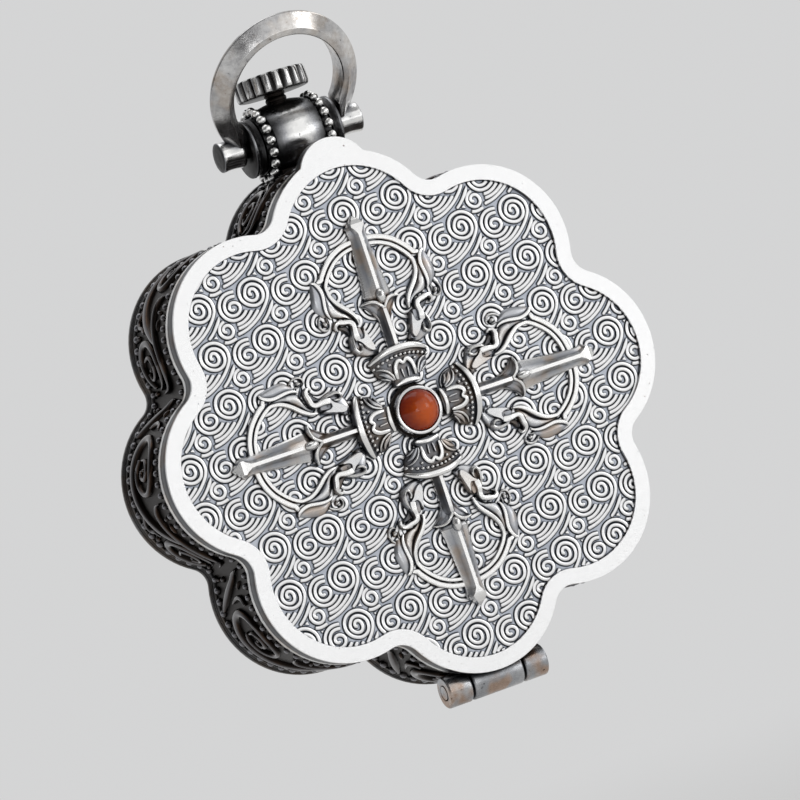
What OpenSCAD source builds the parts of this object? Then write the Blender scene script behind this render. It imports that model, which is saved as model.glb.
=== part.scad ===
// Ghau amulet box: an eight-lobed locket with a hinged lid, a crossed double vajra on the lid,
// a barrel at the top that a bow swings on, and a knurled screw through the barrel that holds the lid.
// X points right, Y points back, Z points up. Depths are counted back from the lid's front face.

/* [Box] */
// Width across two opposite lobe tips
case_w = 46; // [43:1:56]
// Depth from the lid's front face to the back edge
case_depth = 12; // [11.5:0.5:16]
// Radius of each lobe's arc
lobe_r = 7.8; // [7.2:0.1:8.4]
// Radius of the hollow between two lobes
valley_r = 1.9; // [1.4:0.1:2.6]
// Thickness of the side wall
wall_t = 0.65; // [0.5:0.05:0.8]
// How far the side wall lies inside the lip
wall_set = 0.2; // [0.1:0.05:0.3]
// Width of the lip around the mouth, front to back
lip_w = 0.6; // [0.4:0.1:0.9]
// Diameter of the beaded wires along the side wall
bead_wire_d = 0.45; // [0.3:0.05:0.6]
// Distance from the mouth's lip to the middle of the front beaded wire
front_wire_gap = 0.85; // [0.7:0.05:1.2]
// Distance from the back flange to the middle of the rear beaded wire
rear_wire_gap = 0.6; // [0.4:0.05:1]
// Width of the back flange, front to back
flange_w = 1; // [0.8:0.1:1.4]
// How far the back flange stands out past the lip
flange_out = 0.25; // [0.1:0.05:0.5]
// Width of the flange's ring inside the wall line
flange_in = 0.9; // [0.5:0.1:2]
// Thickness of the back plate
back_t = 0.6; // [0.4:0.1:0.8]
// How far the back plate's rear face lies inside the back edge
back_set = 0.3; // [0.1:0.05:0.4]

/* [Lid] */
// Thickness of the lid's frame
lid_t = 1.45; // [1.2:0.05:2]
// Width of the polished rim
rim_w = 1.35; // [1:0.05:1.8]
// Depth of the field below the rim
field_set = 0.45; // [0.3:0.05:0.6]
// Thickness of the field's plate
field_t = 0.8; // [0.5:0.05:0.9]
// Seam between the lid and the mouth's lip
seam = 0.1; // [0.05:0.01:0.2]
// Height of the skirt that enters the mouth
skirt_h = 1.2; // [0.8:0.1:1.6]
// Thickness of the skirt
skirt_t = 0.5; // [0.4:0.05:0.8]
// Gap between the skirt and the wall
skirt_gap = 0.35; // [0.3:0.05:0.6]
// Height of the thumb tab above the top lobe
tab_h = 1.35; // [0.8:0.05:2]
// Radius of the thumb tab
tab_r = 3.2; // [2.6:0.1:4]

/* [Hinge] */
// Depth of the hinge axis behind the lid's front face
hinge_y = 2.4; // [2.2:0.1:2.8]
// Drop of the hinge axis below the bottom lobe
hinge_drop = 0.5; // [0.4:0.1:0.9]
// Radius of the knuckles
knuckle_r = 1.4; // [1.2:0.05:1.6]
// Length of the lid's middle knuckle
lid_knuckle_l = 4.8; // [3.6:0.1:6]
// Length of each of the box's two outer knuckles
case_knuckle_l = 2.2; // [1.6:0.1:3]
// Gap between two knuckles, end to end
knuckle_gap = 0.15; // [0.1:0.05:0.3]
// Radius of the hinge pin
hinge_pin_r = 0.6; // [0.4:0.05:0.7]

/* [Barrel] */
// Distance from the barrel's axis to the back edge of the box
barrel_back = 4; // [3.6:0.1:4.4]
// Height of the barrel's axis above the top lobe
barrel_rise = 2.8; // [2.8:0.1:3.6]
// Radius of the drum at its middle
drum_r = 3.3; // [3.2:0.05:3.4]
// How much the drum narrows from its middle to a beaded row
drum_swell = 0.35; // [0.3:0.01:0.4]
// Height of the drum's flat underside above the top lobe
drum_seat = 0.15; // [0.1:0.05:0.2]
// Distance from the barrel's middle to each beaded row
bead_row_x = 2.76; // [2.6:0.02:3.2]
// Radius from the barrel's axis to the beads' centres
bead_row_r = 3; // [2.95:0.01:3.05]
// Radius of a bead on the barrel
bead_r = 0.43; // [0.3:0.01:0.46]
// Beads in one row
bead_count = 18; // [12:1:20]
// Radius of the end collars
collar_r = 2.55; // [2.2:0.05:2.8]
// Depth of the collar's waist
collar_waist = 0.25; // [0.1:0.05:0.5]
// Length of each end collar
collar_l = 1; // [0.6:0.1:1.6]
// Gap between the saddle under the drum and the rear beaded wire
saddle_gap = 0.08; // [0.05:0.01:0.4]

/* [Bow] */
// How far the bow's outer edge lies outside the ferrules' ends
bow_out = 0.29; // [0.1:0.01:1]
// Width of the bow, from its opening to its outer edge
bow_w = 1.82; // [1.4:0.02:2.1]
// Width of the flat strip beside the bow's opening, front and back
bow_strip = 0.62; // [0.3:0.02:0.8]
// Width of the flat along the bow's outer edge
bow_edge = 0.3; // [0.2:0.05:0.6]
// Thickness of the bow, front to back
bow_t = 2.2; // [1.6:0.1:2.4]
// Bevel on the bow's inner edges
bow_bevel = 0.1; // [0.05:0.05:0.2]
// Distance from the barrel's axis to the middle of the bow's circle
bow_lift = 4.95; // [4.8:0.01:5.3]
// Lean of the bow towards the front
bow_tilt = 34; // [0:1:40]
// Radius of the ferrules at the bow's ends
ferrule_r = 1.35; // [1.3:0.05:1.5]
// Length of each ferrule
ferrule_l = 2.2; // [1.8:0.1:2.6]
// Chamfer on the ferrules' ends
ferrule_edge = 0.2; // [0.1:0.05:0.3]
// Gap between a ferrule and the collar beside it
ferrule_gap = 0.28; // [0.15:0.01:0.4]
// Radius of the pivot pins
pivot_r = 0.8; // [0.6:0.05:0.9]
// How far each pivot pin enters the drum
pivot_in = 0.35; // [0.3:0.05:0.6]

/* [Lock] */
// Radius of the knurled knob
knob_r = 3.25; // [2.8:0.05:3.4]
// Height of the knob
knob_h = 1.8; // [1.6:0.1:2.4]
// Height of the knob's underside above the barrel's axis
knob_lift = 3.9; // [3.8:0.1:4.6]
// Flutes around the knob
flute_count = 20; // [14:1:24]
// Radius of a flute
flute_r = 0.36; // [0.2:0.02:0.4]
// Depth of a flute
flute_depth = 0.24; // [0.1:0.02:0.28]
// Radius of the screw's shank
shank_r = 0.95; // [0.7:0.05:1.1]
// How far the shank enters the knob
shank_in = 1.2; // [0.8:0.1:1.4]
// Width of the lid's tongue
tongue_w = 4; // [3:0.2:5]
// Thickness of the lid's tongue
tongue_t = 0.9; // [0.6:0.1:1.2]
// Gap between the wall's inside and the top of the tongue
tongue_drop = 1.3; // [1.1:0.1:2]
// How far the tongue reaches past the screw's axis
tongue_past = 1.5; // [1.2:0.1:2]

/* [Double vajra] */
// Distance from the middle to the tip of an arm
vajra_r = 17.3; // [15:0.1:17.6]
// Height of the central blades above the field
blade_h = 1.25; // [0.8:0.05:1.5]
// Height of the blades' edges
blade_edge_h = 0.5; // [0.3:0.05:0.7]
// Width of the flat along a blade's ridge
blade_flat = 0.34; // [0.1:0.02:0.5]
// Height of the leaf cups that hold the blades
cup_h = 1.2; // [0.8:0.05:1.5]
// Height of the round side prongs
prong_h = 0.5; // [0.3:0.05:0.8]
// Bevel on the prongs' edges
prong_bevel = 0.2; // [0.1:0.02:0.28]
// Height of the leaf fins outside the prongs
fin_h = 0.45; // [0.3:0.05:0.7]
// Height of the makara heads
head_h = 0.95; // [0.6:0.05:1.2]
// Height of the lotus collars at their middle
lotus_h = 1.3; // [0.9:0.05:1.5]
// Radius that the lotus collars' faces are rounded to
lotus_round = 5.6; // [4.5:0.1:8]
// Radius of the disc under the stone
hub_r = 2.3; // [2.15:0.01:2.33]
// Height of that disc
hub_h = 0.6; // [0.4:0.05:0.8]
// Outer radius of the bezel
bezel_r = 2.13; // [1.9:0.01:2.3]
// Height of the bezel above the disc
bezel_h = 0.75; // [0.4:0.05:0.9]
// Radius of the stone
stone_r = 1.77; // [1.5:0.01:1.85]
// Height of the stone's dome above the bezel
dome_h = 1; // [0.5:0.05:1.2]

/* [Fits] */
// Running clearance of pins, screw and shank
run_gap = 0.05; // [0.02:0.01:0.09]
// Gap between pieces that are soldered or pressed together
seat_gap = 0.02; // [0.01:0.005:0.03]
// Clearance around what swings
swing_gap = 0.25; // [0.2:0.05:0.4]

/* [Hidden] */
$fn = 48;

// Cuts run this far past the faces they open
over = 1;
LOBES = 8;
ARMS = 4;
lobe_step = 360 / LOBES;

// Places of the lobes' and hollows' centres, from the middle of the box
lobe_d = case_w / 2 - lobe_r;
valley_d = lobe_d * cos(lobe_step / 2)
    + sqrt(pow(lobe_r + valley_r, 2) - pow(lobe_d * sin(lobe_step / 2), 2));

// Depths of the box's pieces
lip_y = lid_t + seam;
wall_y = lip_y + lip_w;
flange_y = case_depth - flange_w;
back_y = case_depth - back_set - back_t;
front_wire_y = wall_y + front_wire_gap;
rear_wire_y = flange_y - rear_wire_gap;
wall_in = wall_set + wall_t;

// Hinge
hinge_z = -(case_w / 2 + hinge_drop);
knuckle_x = lid_knuckle_l / 2 + knuckle_gap;
hinge_half = knuckle_x + case_knuckle_l;

// Barrel and bow
barrel_y = case_depth - barrel_back;
barrel_z = case_w / 2 + barrel_rise;
saddle_half = rear_wire_y - bead_wire_d / 2 - saddle_gap - barrel_y;
core_r = bead_row_r - bead_r - seat_gap;
bead_half = bead_r + seat_gap;
drum_half = bead_row_x - bead_half;
core_half = bead_row_x + bead_half;
collar_x = core_half + seat_gap;
collar_end = collar_x + collar_l;
drum_sweep = (pow(drum_half, 2) + pow(drum_swell, 2)) / (2 * drum_swell);
ferrule_x = collar_end + ferrule_gap;
ferrule_end = ferrule_x + ferrule_l;
bow_r = ferrule_end + bow_out;
bow_in_r = bow_r - bow_w;

// Lock
knob_z = barrel_z + knob_lift;
tongue_z = case_w / 2 - wall_in - tongue_drop;
tongue_r = sqrt(pow(barrel_y - hinge_y, 2) + pow(tongue_z - hinge_z, 2));
tongue_end = barrel_y + tongue_past;
tip_z = hinge_z + sqrt(pow(tongue_r, 2) - pow(barrel_y - shank_r - hinge_y, 2)) + seat_gap;

// The origin is the seat of a chain, on the inside of the bow at its top
seat_s = bow_lift + bow_in_r;
seat_y = barrel_y - seat_s * sin(bow_tilt);
seat_z = barrel_z + seat_s * cos(bow_tilt);

// Lid ornament: shares of the arm's length, across and along the arm, from the middle outwards
blade_shares = [[0.004, 0.54], [0.074, 0.588], [0.047, 0.888], [0.054, 0.947], [0.004, 1]];
cup_shares = [[0.032, 0.338], [0.034, 0.44], [0.052, 0.49], [0.075, 0.54], [0.103, 0.571],
    [0.06, 0.573], [0.03, 0.551], [0.004, 0.533]];
lotus_shares = [[0.047, 0.136], [0.065, 0.14], [0.067, 0.16], [0.06, 0.172], [0.085, 0.182], [0.13, 0.2],
    [0.145, 0.24], [0.158, 0.278], [0.145, 0.298], [0.09, 0.32], [0.03, 0.332]];
head_shares = [[0.087, 0.335], [0.098, 0.37], [0.11, 0.42], [0.122, 0.475], [0.14, 0.45], [0.15, 0.485],
    [0.17, 0.515], [0.195, 0.535], [0.235, 0.545], [0.27, 0.54], [0.284, 0.518], [0.27, 0.485],
    [0.245, 0.5], [0.21, 0.495], [0.19, 0.465], [0.213, 0.436], [0.225, 0.39], [0.222, 0.357],
    [0.2, 0.338], [0.15, 0.34]];
horn_shares = [[0.283, 0.7], [0.258, 0.664], [0.249, 0.624], [0.238, 0.57], [0.2, 0.541], [0.165, 0.521],
    [0.145, 0.49], [0.128, 0.485], [0.153, 0.535], [0.188, 0.575], [0.217, 0.607], [0.234, 0.647],
    [0.226, 0.71], [0.27, 0.72]];
fin_shares = [[0.29, 0.739], [0.313, 0.749], [0.338, 0.648], [0.324, 0.59], [0.335, 0.526], [0.301, 0.512],
    [0.275, 0.555], [0.244, 0.562], [0.257, 0.613], [0.266, 0.66], [0.287, 0.7]];
prong_mid_share = 0.592;
prong_out_share = 0.304;
prong_w_share = 0.052;
prong_low_share = 0.705;
prong_cut_share = 0.054;

function polar(r, a) = [r * cos(a), r * sin(a)];
function scaled(shares, size) = [for (p = shares) p * size];
// An outline with its mirror image on the other side of the arm
function both_sides(points) =
    concat(points, [for (i = [len(points) - 1:-1:0]) [-points[i][0], points[i][1]]]);

// Moves what is drawn from the lid's middle to the row's origin
module placed() {
    translate([0, -seat_y, -seat_z]) children();
}

// A plan drawn in X and Z, thick from depth y0 to depth y1
module slab(y0, y1) {
    translate([0, y1, 0]) rotate([90, 0, 0]) linear_extrude(y1 - y0) children();
}

module rod_x(r, x0, x1) {
    translate([x0, 0, 0]) rotate([0, 90, 0]) cylinder(r = r, h = x1 - x0);
}

module rod_z(r, z0, z1) {
    translate([0, 0, z0]) cylinder(r = r, h = z1 - z0);
}

// The box's outline, moved outwards by off
module lobed(off) {
    difference() {
        polygon([for (i = [0:2 * LOBES - 1])
            polar(i % 2 == 0 ? lobe_d : valley_d, i * lobe_step / 2)]);
        for (i = [0:LOBES - 1])
            translate(polar(valley_d, (i + 0.5) * lobe_step)) circle(valley_r - off);
    }
    for (i = [0:LOBES - 1])
        translate(polar(lobe_d, i * lobe_step)) circle(lobe_r + off);
}

module lobed_ring(out, in) {
    difference() {
        lobed(out);
        lobed(in);
    }
}

module at_hinge() {
    translate([0, hinge_y, hinge_z]) children();
}

module at_barrel() {
    translate([0, barrel_y, barrel_z]) children();
}

// Room for the knuckles, in a piece of the box or of the lid
module hinge_room(mid_gap, end_gap) {
    at_hinge() {
        rod_x(knuckle_r + mid_gap, -knuckle_x, knuckle_x);
        for (s = [0, 1])
            mirror([s, 0, 0])
                rod_x(knuckle_r + end_gap, lid_knuckle_l / 2, hinge_half + max(end_gap, seat_gap));
    }
}

module case_hinge_room() {
    hinge_room(swing_gap, seat_gap);
}

module lid_hinge_room() {
    hinge_room(seat_gap, swing_gap);
}

module screw_hole() {
    translate([0, barrel_y, 0]) rod_z(shank_r + run_gap, 0, barrel_z + drum_r + over);
}

module in_bow_plane() {
    at_barrel() rotate([bow_tilt, 0, 0]) children();
}

module both_ends() {
    children();
    mirror([1, 0, 0]) children();
}

module arms() {
    for (i = [0:ARMS - 1]) rotate([0, i * 360 / ARMS, 0]) children();
}

// A plan on the field, standing up to height h above it
module on_field(h) {
    slab(field_set - h, field_set) children();
}

// Bow, its ferrules and pins

module bow_ring() {
    color("#cfccc6") placed() in_bow_plane() difference() {
        translate([0, 0, bow_lift]) rotate([90, 0, 0]) rotate_extrude() polygon([
            [bow_in_r, -bow_t / 2 + bow_bevel], [bow_in_r + bow_bevel, -bow_t / 2],
            [bow_in_r + bow_strip, -bow_t / 2], [bow_r, -bow_edge / 2],
            [bow_r, bow_edge / 2], [bow_in_r + bow_strip, bow_t / 2],
            [bow_in_r + bow_bevel, bow_t / 2], [bow_in_r, bow_t / 2 - bow_bevel]]);
        translate([-bow_r - over, -bow_t, -bow_r]) cube([2 * (bow_r + over), 2 * bow_t, bow_r]);
        translate([-ferrule_x, -bow_t, -over]) cube([2 * ferrule_x, 2 * bow_t, bow_lift + over]);
        both_ends() rod_x(ferrule_r + seat_gap, ferrule_x - over, ferrule_end + over);
    }
}

module bow_ferrules() {
    color("#c4c1bb") placed() in_bow_plane() both_ends() rotate([0, 90, 0]) rotate_extrude() polygon([
        [pivot_r + seat_gap, ferrule_x], [ferrule_r - ferrule_edge, ferrule_x],
        [ferrule_r, ferrule_x + ferrule_edge], [ferrule_r, ferrule_end - ferrule_edge],
        [ferrule_r - ferrule_edge, ferrule_end], [pivot_r + seat_gap, ferrule_end]]);
}

module pivot_pins() {
    color("#8f8c88") placed() at_barrel() both_ends() rod_x(pivot_r, core_half - pivot_in, ferrule_end);
}

// Barrel

module barrel_drum() {
    color("#8c8b8d") placed() difference() {
        at_barrel() rotate([0, 90, 0]) rotate_extrude() {
            intersection() {
                translate([drum_r - drum_sweep, 0]) circle(drum_sweep, $fn = 96);
                translate([0, -drum_half]) square([drum_r, 2 * drum_half]);
            }
            translate([0, -core_half]) square([core_r, 2 * core_half]);
        }
        translate([-drum_half, barrel_y - drum_r, case_w / 2 + drum_seat - drum_r])
            cube([2 * drum_half, 2 * drum_r, drum_r]);
        screw_hole();
        at_barrel() both_ends() rod_x(pivot_r + run_gap, core_half - pivot_in - run_gap, core_half + over);
    }
}

module barrel_beads() {
    color("#dcdad6") placed() at_barrel() both_ends() translate([bead_row_x, 0, 0]) rotate([0, 90, 0]) {
        difference() {
            rod_z(bead_row_r - bead_r / 4, -bead_r * 2 / 3, bead_r * 2 / 3);
            rod_z(core_r + seat_gap, -over, over);
        }
        difference() {
            for (i = [0:bead_count - 1])
                rotate(i * 360 / bead_count) translate([bead_row_r, 0, 0]) sphere(bead_r, $fn = 24);
            rod_z(core_r + seat_gap, -over, over);
        }
    }
}

module barrel_collars() {
    color("#a3a1a0") placed() at_barrel() both_ends() rotate([0, 90, 0]) rotate_extrude() polygon([
        [pivot_r + run_gap, collar_x], [core_r, collar_x], [collar_r - collar_waist, collar_x + collar_l / 3],
        [collar_r, collar_end - collar_l / 4], [collar_r, collar_end], [pivot_r + run_gap, collar_end]]);
}

module barrel_saddle() {
    $fn = 144;
    color("#4b4a4d") placed() difference() {
        translate([-drum_half, barrel_y - saddle_half, case_w / 2 - lobe_r / 4])
            cube([2 * drum_half, 2 * saddle_half, lobe_r / 4 + drum_seat - seat_gap]);
        slab(wall_y - over, flange_y + over) lobed(seat_gap - wall_set);
        screw_hole();
    }
}

// Box

module case_wall() {
    color("#3a393c") placed() difference() {
        slab(wall_y, flange_y) lobed_ring(-wall_set, -wall_in);
        case_hinge_room();
        screw_hole();
    }
}

module case_lip() {
    color("#6d6b6c") placed() difference() {
        slab(lip_y, wall_y) lobed_ring(0, -wall_in);
        case_hinge_room();
    }
}

// The beaded wires lie on the wall as plain bands of the wire's size
module bead_wire(mid_y) {
    difference() {
        slab(mid_y - bead_wire_d / 2, mid_y + bead_wire_d / 2)
            lobed_ring(bead_wire_d - wall_set, seat_gap - wall_set);
        case_hinge_room();
    }
}

module front_bead_wire() {
    color("#77757a") placed() bead_wire(front_wire_y);
}

module rear_bead_wire() {
    color("#77757a") placed() bead_wire(rear_wire_y);
}

module back_flange() {
    color("#5a5a60") placed() {
        slab(flange_y, flange_y + flange_w / 2) lobed_ring(0, -wall_in - flange_in);
        slab(flange_y + flange_w / 2, case_depth) lobed_ring(flange_out, -wall_in - flange_in);
    }
}

module back_plate() {
    color("#b9b6b1") placed() slab(back_y, back_y + back_t) lobed(-wall_in - flange_in - seat_gap);
}

module case_knuckles() {
    color("#a9a6a2") placed() at_hinge() both_ends() difference() {
        rod_x(knuckle_r, knuckle_x, hinge_half);
        rod_x(hinge_pin_r + seat_gap, knuckle_x - over, hinge_half + over);
    }
}

module hinge_pin() {
    color("#8f8c88") placed() at_hinge() rod_x(hinge_pin_r, -hinge_half, hinge_half);
}

// Lid

module lid_frame() {
    color("#e4e2de") placed() difference() {
        slab(0, lid_t) difference() {
            union() {
                lobed(0);
                translate([0, case_w / 2 + tab_h - tab_r]) circle(tab_r);
            }
            lobed(-rim_w);
        }
        lid_hinge_room();
    }
}

module field_plate() {
    color("#8a8d94") placed() slab(field_set, field_set + field_t) lobed(-rim_w - seat_gap);
}

module lid_skirt() {
    color("#9b999a") placed() difference() {
        slab(lid_t, lid_t + skirt_h) lobed_ring(-wall_in - skirt_gap, -wall_in - skirt_gap - skirt_t);
        translate([-hinge_half - 2 * swing_gap, lid_t - over, hinge_z])
            cube([2 * (hinge_half + 2 * swing_gap), skirt_h + 2 * over, case_w / 4]);
        translate([-tongue_w / 2 - seat_gap, lid_t - over, 0])
            cube([tongue_w + 2 * seat_gap, skirt_h + 2 * over, case_w]);
    }
}

// The tongue's top follows a circle about the hinge, so the lid swings past the screw's tip
module lock_tongue() {
    color("#9b999a") placed() intersection() {
        at_hinge() difference() {
            rod_x(tongue_r, -tongue_w / 2, tongue_w / 2, $fn = 96);
            rod_x(tongue_r - tongue_t, -tongue_w / 2 - over, tongue_w / 2 + over, $fn = 96);
        }
        translate([-tongue_w, field_set + field_t, 0])
            cube([2 * tongue_w, tongue_end - field_set - field_t, case_w]);
    }
}

module lid_knuckle() {
    color("#a9a6a2") placed() at_hinge() difference() {
        rod_x(knuckle_r, -lid_knuckle_l / 2, lid_knuckle_l / 2);
        rod_x(hinge_pin_r + run_gap, -lid_knuckle_l / 2 - over, lid_knuckle_l / 2 + over);
    }
}

// Double vajra

// Keeps a plan's middle at height h and slopes its sides down to the height of the blades' edges
module ridged(shares, h, widest) {
    half = vajra_r * widest;
    intersection() {
        on_field(h) polygon(both_sides(scaled(shares, vajra_r)));
        translate([0, field_set, 0]) linear_extrude(vajra_r + over)
            polygon(both_sides([[half, over], [half, -blade_edge_h], [blade_flat / 2, -h]]));
    }
}

module vajra_blades() {
    color("#dedbd6") placed() arms() ridged(blade_shares, blade_h, blade_shares[1][0]);
}

module leaf_cups() {
    color("#d2cfca") placed() arms() ridged(cup_shares, cup_h, cup_shares[4][0]);
}

module vajra_prongs() {
    r = vajra_r * prong_out_share;
    w = vajra_r * prong_w_share;
    low = vajra_r * prong_low_share;
    cut = vajra_r * prong_cut_share;
    color("#d3d0cb") placed() arms() {
        difference() {
            translate([0, field_set, vajra_r * prong_mid_share]) rotate([90, 0, 0]) rotate_extrude() polygon([
                [r - w, 0], [r, 0], [r, prong_h - prong_bevel], [r - prong_bevel, prong_h],
                [r - w + prong_bevel, prong_h], [r - w, prong_h - prong_bevel]]);
            translate([-r - over, field_set - prong_h - over, low - 2 * r - over])
                cube([2 * (r + over), prong_h + 2 * over, 2 * r + over]);
            translate([-cut, field_set - prong_h - over, low]) cube([2 * cut, prong_h + 2 * over, 2 * r]);
        }
        both_ends() on_field(prong_h) polygon(scaled(horn_shares, vajra_r));
    }
}

module prong_fins() {
    color("#bdbab6") placed() arms() both_ends() on_field(fin_h) polygon(scaled(fin_shares, vajra_r));
}

module makara_heads() {
    color("#c9c6c2") placed() arms() both_ends() on_field(head_h) polygon(scaled(head_shares, vajra_r));
}

module lotus_collars() {
    color("#cfccc8") placed() arms() intersection() {
        on_field(lotus_h) difference() {
            polygon(both_sides(scaled(lotus_shares, vajra_r)));
            circle(hub_r + seat_gap);
        }
        translate([0, field_set - lotus_h + lotus_round, 0]) rod_z(lotus_round, 0, vajra_r);
    }
}

module vajra_hub() {
    color("#a6a4a2") placed() on_field(hub_h) circle(hub_r);
}

module bezel() {
    color("#d8d5d0") placed() slab(field_set - hub_h - bezel_h, field_set - hub_h) difference() {
        circle(bezel_r);
        circle(stone_r);
    }
}

// A cabochon: a straight girdle in the bezel, and a dome above it
module stone() {
    ball_r = (pow(stone_r, 2) + pow(dome_h, 2)) / (2 * dome_h);
    top_h = bezel_h + dome_h;
    color("#b23a1c") placed() translate([0, field_set - hub_h, 0]) rotate([90, 0, 0]) rotate_extrude()
        intersection() {
            translate([0, top_h - ball_r]) circle(ball_r, $fn = 96);
            square([stone_r - seat_gap, top_h]);
        }
}

// Lock screw

module lock_shank() {
    color("#59575a") placed() translate([0, barrel_y, 0]) rod_z(shank_r, tip_z, knob_z + shank_in);
}

module lock_knob() {
    color("#9a9896") placed() translate([0, barrel_y, 0]) difference() {
        rod_z(knob_r, knob_z, knob_z + knob_h);
        rod_z(shank_r + run_gap, knob_z - over, knob_z + shank_in + run_gap);
        for (i = [0:flute_count - 1])
            rotate(i * 360 / flute_count) translate([knob_r + flute_r - flute_depth, 0, 0])
                rod_z(flute_r, knob_z - over, knob_z + knob_h + over);
    }
}

bow_ring();
bow_ferrules();
pivot_pins();
barrel_drum();
barrel_beads();
barrel_collars();
barrel_saddle();
case_wall();
case_lip();
front_bead_wire();
rear_bead_wire();
back_flange();
back_plate();
case_knuckles();
hinge_pin();
lid_frame();
field_plate();
lid_skirt();
lock_tongue();
lid_knuckle();
vajra_blades();
leaf_cups();
vajra_prongs();
prong_fins();
makara_heads();
lotus_collars();
vajra_hub();
bezel();
stone();
lock_shank();
lock_knob();
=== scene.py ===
"""Looks of the eight-lobed amulet box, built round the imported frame.

Shapes are drawn in millimetres from the middle of the lid's face: X right, Y back, Z up.
Relief is drawn in a plane (u, v) with a height above it. It is placed on the lid, on an arm of the vajra
or on the wall.
"""

import math

import bpy
import numpy as np
from mathutils import Matrix, Vector


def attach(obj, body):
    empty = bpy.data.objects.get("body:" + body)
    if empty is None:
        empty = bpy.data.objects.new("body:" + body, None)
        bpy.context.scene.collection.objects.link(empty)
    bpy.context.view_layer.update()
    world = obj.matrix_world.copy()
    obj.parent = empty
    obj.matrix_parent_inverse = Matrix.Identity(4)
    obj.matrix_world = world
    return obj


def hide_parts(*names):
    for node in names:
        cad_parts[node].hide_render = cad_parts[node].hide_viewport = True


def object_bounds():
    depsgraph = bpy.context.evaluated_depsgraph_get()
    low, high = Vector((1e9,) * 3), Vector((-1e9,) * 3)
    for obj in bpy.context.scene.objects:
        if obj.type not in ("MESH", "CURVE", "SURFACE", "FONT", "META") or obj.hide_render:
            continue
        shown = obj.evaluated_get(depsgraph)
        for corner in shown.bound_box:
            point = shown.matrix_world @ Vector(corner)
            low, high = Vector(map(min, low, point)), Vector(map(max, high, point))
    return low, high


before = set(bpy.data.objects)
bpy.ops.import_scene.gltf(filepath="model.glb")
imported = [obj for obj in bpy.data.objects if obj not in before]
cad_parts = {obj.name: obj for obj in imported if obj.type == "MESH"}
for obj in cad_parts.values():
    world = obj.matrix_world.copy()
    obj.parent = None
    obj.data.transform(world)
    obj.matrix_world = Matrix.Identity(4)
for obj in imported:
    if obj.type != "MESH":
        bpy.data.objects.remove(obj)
cad_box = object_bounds()

# Sizes in millimetres and angles in radians
MM = 0.001  # metres
SEAT = np.array([0.0, 2.335376, 34.198151])  # the frame's origin, from the middle of the lid's face
FIELD = 0.45  # depth of the lid's field
CASE_R, LOBE_R, VALLEY_R = 23.0, 7.8, 1.9
LOBES = 8
STEP = 2 * math.pi / LOBES
LOBE_D = CASE_R - LOBE_R
VALLEY_D = LOBE_D * math.cos(STEP / 2) + math.sqrt(
    (LOBE_R + VALLEY_R) ** 2 - (LOBE_D * math.sin(STEP / 2)) ** 2
)
BEND = math.atan2(VALLEY_D * math.sin(STEP / 2), VALLEY_D * math.cos(STEP / 2) - LOBE_D)
BARREL_Y, BARREL_Z = 8.0, 25.8  # the barrel's axis, which runs along X
HINGE_Z = -23.5
BOW_LEAN = math.radians(34)
ROOT = -0.05  # height where relief starts, just under the surface that carries it


# Mesh tools


class Mesh:
    """Vertices in millimetres, faces, and how bright each vertex is, from 0 to 1: mostly wear, but in a few
    places painted shade or a painted highlight.
    """

    def __init__(self):
        self.verts, self.faces, self.wear, self.count = [], [], [], 0

    def add(self, verts, faces, wear=1.0):
        verts = np.asarray(verts, float).reshape(-1, 3)
        self.verts.append(verts)
        self.wear.append(np.broadcast_to(np.asarray(wear, float).ravel(), (len(verts),)))
        first = self.count
        self.faces.extend([tuple(i + first for i in face) for face in faces])
        self.count += len(verts)


def skin(mesh, pts, wear, flip=False):
    """Quads over closed rings of points (n, k, 3). The first ring and the last are capped."""
    n, k = pts.shape[:2]
    rows = np.arange(n * k).reshape(n, k)
    rings = np.hstack([rows, rows[:, :1]])
    a, b = rings[:-1, :-1].ravel(), rings[1:, :-1].ravel()
    c, d = rings[1:, 1:].ravel(), rings[:-1, 1:].ravel()
    quads = np.column_stack([d, c, b, a] if flip else [a, b, c, d]).tolist()
    first, last = rows[0].tolist(), rows[-1][::-1].tolist()
    quads += [first[::-1], last[::-1]] if flip else [first, last]
    mesh.add(pts, quads, np.broadcast_to(wear, (n, k)) if np.ndim(wear) else wear)


def length_along(p):
    """Distance from the first point to each point, in the first two columns."""
    return np.concatenate([[0], np.cumsum(np.hypot(*np.diff(p[:, :2], axis=0).T))])


def spline(points, step, closed=False):
    """A smooth curve through points, evenly spaced in its first two columns; the other columns follow."""
    p = np.asarray(points, float)
    if closed:
        p = np.vstack([p[-1:], p, p[:2]])
    else:
        p = np.vstack([2 * p[:1] - p[1:2], p, 2 * p[-1:] - p[-2:-1]])
    out = []
    t = np.linspace(0, 1, 9)[:-1, None]
    for i in range(1, len(p) - 2):
        before, here, there, after = p[i - 1 : i + 3]
        slope = there - before
        bow = 2 * before - 5 * here + 4 * there - after
        twist = 3 * here - before - 3 * there + after
        out.append(0.5 * (2 * here + slope * t + bow * t**2 + twist * t**3))
    q = np.vstack(out + [p[-2][None]])
    s = length_along(q)
    at = np.linspace(0, s[-1], max(3, int(round(s[-1] / step)) + 1))
    q = np.column_stack([np.interp(at, s, q[:, k]) for k in range(q.shape[1])])
    return q[:-1] if closed else q


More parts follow.
